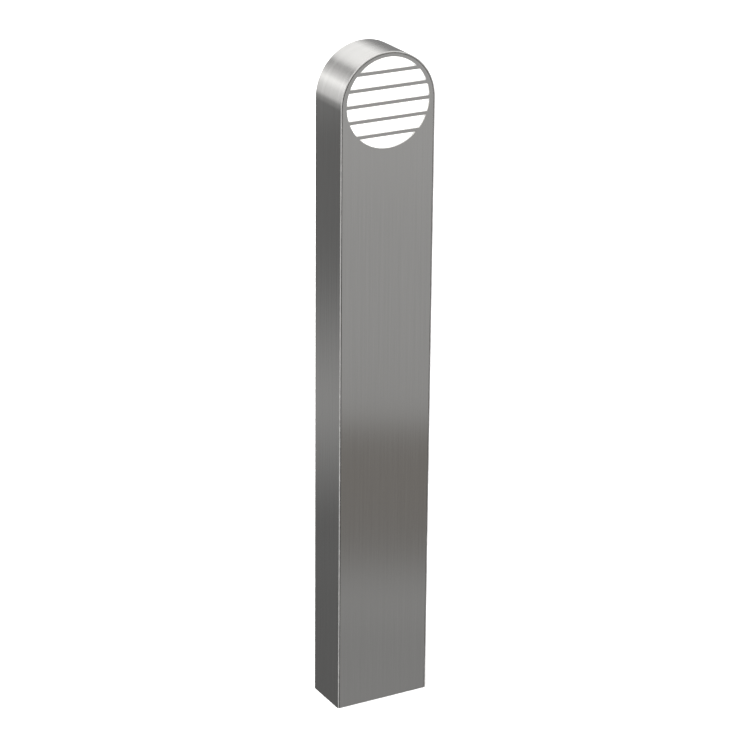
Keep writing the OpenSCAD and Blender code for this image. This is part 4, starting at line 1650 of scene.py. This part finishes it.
@dataclass
class Foot:
    """The galvanised foot channel with its studs, nuts, grommet and earth connection.

    Each thread starts some way up its stud, and is shorter than the stud by the second length.
    """

    shop: Shop
    stud: float = 2.4 * MM
    stud_pitch: float = 0.8 * MM
    stud_start: float = 0.3 * MM
    stud_spare: float = 0.8 * MM
    nut_bore: float = 2.55 * MM
    nut_flange: float = 5.5 * MM
    earth: float = 2.9 * MM
    earth_pitch: float = 1.0 * MM
    earth_start: float = 4 * MM
    earth_spare: float = 4.6 * MM

    def build(self) -> None:
        """Builds the foot."""
        look = self.shop.palette
        self.shop.eased("foot_channel", look.galvanised, 0.6 * MM, "galvanised")
        self.shop.eased("cable_grommet", look.rubber, 0.7 * MM, "seal_rubber")
        self.shop.repaint(look.zinc, "foot_studs")
        boxes = islands("foot_studs")
        inward = []
        for low, high in boxes:
            spot = (low + high) / 2
            right = spot.x > 0
            spot.x = high.x - self.stud_start if right else low.x + self.stud_start
            inward.append(Seat(spot, Way.LEFT if right else Way.RIGHT))
        run = boxes[0][1].x - boxes[0][0].x - self.stud_spare
        self.shop.threads("foot_stud_threads", inward, self.stud, self.stud_pitch, run,
                          look.zinc, "zinc_steel")
        self.shop.nuts("foot_nuts", lambda c: Way.LEFT if c.x > 0 else Way.RIGHT,
                       self.nut_bore, look.zinc, "zinc_steel", self.nut_flange)
        self.shop.eased("earth_nuts", look.brass, 0.25 * MM, "brass")
        self.shop.repaint(look.brass, "earth_stud")
        low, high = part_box("earth_stud")
        root = Vector((low.x + self.earth_start, (low.y + high.y) / 2, (low.z + high.z) / 2))
        self.shop.threads("earth_stud_thread", [Seat(root, Way.RIGHT)], self.earth,
                          self.earth_pitch, high.x - low.x - self.earth_spare, look.brass,
                          "brass")
        self.shop.eased("earth_lug", look.nickel, 0.2 * MM, "zinc_steel")
        self.shop.repaint(look.earth, "earth_lead")
        shade(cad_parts["earth_lead"].data, 50)


@dataclass
class ConnectionBox:
    """The gear plate with the connection box and its terminals."""

    shop: Shop
    nut_bore: float = 2.05 * MM

    def build(self) -> None:
        """Builds the box."""
        look = self.shop.palette
        self.shop.eased("gear_plate", look.galvanised, 0.3 * MM, "galvanised")
        self.shop.repaint(look.zinc, "gear_spacers")
        self.shop.nuts("gear_nuts", lambda c: Way.REAR, self.nut_bore, look.zinc, "zinc_steel")
        self.shop.eased("box_base", look.box, 0.6 * MM, "box_grey")
        self.shop.eased("box_lid", look.box, 0.9 * MM, "box_grey")
        self.shop.repaint(look.rubber, "box_seal")
        self.screws("box_lid_screws", 1.8 * MM, 0.8 * MM, look.natural, "terminal_white")
        self.screws("box_fixings", 2.2 * MM, 0.9 * MM, look.zinc, "zinc_steel")
        self.shop.eased("terminal_block", look.natural, 0.4 * MM, "terminal_white")
        self.screws("terminal_screws", 1.2 * MM, 0.5 * MM, look.brass, "brass")

    def screws(
        self, node: str, rise: float, slot: float, finish: bpy.types.Material, slot_name: str
    ) -> None:
        """Makes a node's slotted screws again, all facing the rear.

        Args:
            node: The CAD node.
            rise: The height of the head.
            slot: The slot's width.
            finish: The screws' material.
            slot_name: The record's material slot.
        """
        boxes = islands(node)
        head = (boxes[0][1].x - boxes[0][0].x) / 2
        seats = [Seat(Vector((centre(b).x, b[1].y - rise, centre(b).z)), Way.REAR) for b in boxes]
        piece = slotted_screw_tree().grow(
            f"{node}_look",
            {"Head": head, "Rise": rise, "Shank": head * SLOTTED_SHANK,
             "Length": boxes[0][1].y - boxes[0][0].y - rise, "Slot": slot, "Finish": finish},
            seats,
        )
        shade(piece.data, 35)
        self.shop.hand_over(piece, "housing", [node], slot_name)


@dataclass
class Leads:
    """The lamp's lead and its clips."""

    shop: Shop

    def build(self) -> None:
        """Builds the leads."""
        self.shop.repaint(self.shop.palette.sheath, "lamp_lead")
        shade(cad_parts["lamp_lead"].data, 50)
        self.shop.eased("lead_clips", self.shop.palette.natural, 0.3 * MM, "terminal_white")


# ---- Stage -------------------------------------------------------------------------------------


# The studio's light on each side of the object: the height on the unit sphere, the brightness and
# how warm it is. It lights the object and the scratches mirror it, so the column shows it from
# top to foot. The stops were typed in one by one but follow measured greys.
SKY: Mapping[str, Sequence[tuple[float, float, float]]] = {
    "front": [
        (-0.5, 0.40, 0.0), (-0.461, 0.405, 0.0), (-0.448, 0.385, 0.0),
        (-0.437, 0.46, 0.0), (-0.430, 0.42, 0.0), (-0.424, 0.34, 0.02),
        (-0.418, 0.275, 0.04), (-0.400, 0.285, 0.06), (-0.390, 0.27, 0.06),
        (-0.3815, 0.265, 0.05), (-0.380, 0.52, 0.0), (-0.376, 0.53, 0.0),
        (-0.366, 0.52, 0.0), (-0.345, 0.535, 0.0), (-0.316, 0.545, 0.0),
        (-0.29, 0.60, 0.0), (-0.1, 0.62, 0.0),
        (0.15, 0.75, 0.0), (0.5, 1.1, 0.0), (0.7, 0.9, 0.0),
    ],
    "left": [
        (-0.5, 0.18, 0.0), (-0.436, 0.185, 0.0), (-0.423, 0.20, 0.0),
        (-0.411, 0.185, 0.0), (-0.398, 0.27, 0.0), (-0.385, 0.375, 0.0),
        (-0.378, 0.43, 0.0), (-0.372, 0.445, 0.0), (-0.366, 0.43, 0.0),
        (-0.353, 0.36, 0.0), (-0.334, 0.25, 0.0), (-0.320, 0.213, 0.0),
        (-0.285, 0.21, 0.0), (-0.276, 0.27, 0.0), (-0.26, 0.34, 0.0),
        (-0.187, 0.47, 0.0), (-0.113, 0.95, 0.0), (0.06, 1.25, 0.0),
        (0.21, 1.85, 0.0), (0.28, 1.25, 0.0), (0.34, 1.0, 0.0),
        (0.40, 0.72, 0.0), (0.435, 0.50, 0.0), (0.457, 0.06, 0.0),
        (0.472, 0.06, 0.0), (0.495, 1.35, 0.0), (0.54, 2.1, 0.0), (0.7, 1.6, 0.0),
    ],
    "right": [
        (-0.5, 0.20, 0.0), (-0.3, 0.25, 0.0), (0.0, 0.30, 0.0), (0.2, 0.32, 0.0),
        (0.24, 0.36, 0.0), (0.28, 0.60, 0.0), (0.33, 0.80, 0.0),
        (0.40, 1.2, 0.0), (0.46, 1.9, 0.0), (0.7, 1.6, 0.0),
    ],
}


@dataclass
class Studio:
    """Floor, white surround, soft light and camera."""

    camera_at: tuple[float, float, float] = (-1.87925, -3.39800, 2.02752)
    look_at: tuple[float, float, float] = (0.00091, 0.0, 0.51040)
    roll_deg: float = 0.533
    lens_mm: float = 138.53
    floor_size: float = 80.0
    sky_low: float = -0.5
    sky_high: float = 0.7
    sky_power: float = 2.5

    def build(self) -> None:
        """Builds the whole stage."""
        self.camera()
        self.surround()
        self.light()
        self.sky()

    def camera(self) -> None:
        """The camera: from the front left, a little above the head."""
        data = bpy.data.cameras.new("camera")
        data.lens = self.lens_mm
        data.sensor_width = 36.0
        camera = linked("camera", data)
        back = Vector(self.camera_at) - Vector(self.look_at)
        turn = back.to_track_quat("Z", "Y").to_matrix().to_4x4()
        turn = turn @ Matrix.Rotation(math.radians(self.roll_deg), 4, "Z")
        camera.matrix_world = Matrix.Translation(self.camera_at) @ turn
        bpy.context.scene.camera = camera

    def surround(self) -> None:
        """A pale floor, and a white dome that only the camera sees."""
        half = self.floor_size / 2
        mesh = bpy.data.meshes.new("floor")
        corners = [(-half, -half, 0), (half, -half, 0), (half, half, 0), (-half, half, 0)]
        mesh.from_pydata(corners, [], [(0, 1, 2, 3)])
        floor = linked("floor", mesh)
        pale = Recipe("pale_floor")
        pale.set("Base Color", linear("F4F4F4"))
        pale.set("Roughness", 1.0)
        pale.set("Specular IOR Level", 0.0)
        mesh.materials.append(pale.material)
        floor.visible_glossy = False
        shape = bmesh.new()
        bmesh.ops.create_uvsphere(shape, u_segments=64, v_segments=32, radius=half)
        dome_mesh = bpy.data.meshes.new("surround")
        shape.to_mesh(dome_mesh)
        shape.free()
        dome = linked("surround", dome_mesh)
        white = bpy.data.materials.new("white_surround")
        white.use_nodes = True
        white.node_tree.nodes.clear()
        glow = add(white.node_tree, "ShaderNodeEmission", values={"Strength": 1.0})
        add(white.node_tree, "ShaderNodeOutputMaterial", {"Surface": glow.outputs[0]})
        dome_mesh.materials.append(white)
        dome.visible_diffuse = False
        dome.visible_glossy = False
        dome.visible_transmission = False
        dome.visible_shadow = False

    def light(self) -> None:
        """One broad soft light from above and a weaker one from the front left."""
        for name, turn, power, angle in (
            ("overhead", (math.radians(18), math.radians(-12), 0), 2.4, 60),
            ("front_left", (math.radians(60), 0, math.radians(-40)), 0.7, 40),
        ):
            data = bpy.data.lights.new(name, "SUN")
            data.energy = power
            data.angle = math.radians(angle)
            lamp = linked(name, data)
            lamp.rotation_euler = turn
            lamp.visible_glossy = False

    def sky(self) -> None:
        """The studio round the object, as soft bands of light by height and side."""
        world = bpy.data.worlds.new("studio")
        bpy.context.scene.world = world
        world.use_nodes = True
        tree = world.node_tree
        tree.nodes.clear()
        way = add(tree, "ShaderNodeTexCoord").outputs["Generated"]
        parts = add(tree, "ShaderNodeSeparateXYZ", {0: way}).outputs
        height = add(tree, "ShaderNodeMapRange", {0: parts["Z"]},
                     {1: self.sky_low, 2: self.sky_high}).outputs[0]
        shades = {}
        for side, stops in SKY.items():
            ramp = add(tree, "ShaderNodeValToRGB", {0: height})
            points = ramp.color_ramp.elements
            for i, (level, value, warmth) in enumerate(stops):
                spot = (level - self.sky_low) / (self.sky_high - self.sky_low)
                point = points[i] if i < 2 else points.new(spot)
                point.position = spot
                grey = value / self.sky_power
                point.color = (grey * (1 + warmth), grey, grey * (1 - warmth), 1.0)
            shades[side] = ramp.outputs[0]
        right = add(tree, "ShaderNodeMapRange", {0: parts["X"]}, {1: 0.0, 2: 0.35},
                    interpolation_type="SMOOTHSTEP").outputs[0]
        rear = add(tree, "ShaderNodeMix", {0: right, 6: shades["left"], 7: shades["right"]},
                   data_type="RGBA").outputs[2]
        ahead = add(tree, "ShaderNodeMapRange", {0: parts["Y"]}, {1: 0.25, 2: -0.25},
                    interpolation_type="SMOOTHSTEP").outputs[0]
        whole = add(tree, "ShaderNodeMix", {0: ahead, 6: rear, 7: shades["front"]},
                    data_type="RGBA").outputs[2]
        sky = add(tree, "ShaderNodeBackground", {"Color": whole}, {"Strength": self.sky_power})
        add(tree, "ShaderNodeOutputWorld", {"Surface": sky.outputs[0]})
        bpy.context.scene.view_settings.view_transform = "Standard"


# ---- Everything --------------------------------------------------------------------------------


def main() -> None:
    """Builds the light and its stage in order."""
    logging.basicConfig(level=logging.INFO, format="%(name)s: %(message)s")
    Studio().build()
    shop = Shop(Palette())
    for part in (Housing, LensStack, LampTray, LampHolder, Lamp, Glands, Foot, ConnectionBox,
                 Leads):
        part(shop).build()
    log.info("made %d pieces", len(shop.made))


if __name__ == "__main__":
    main()
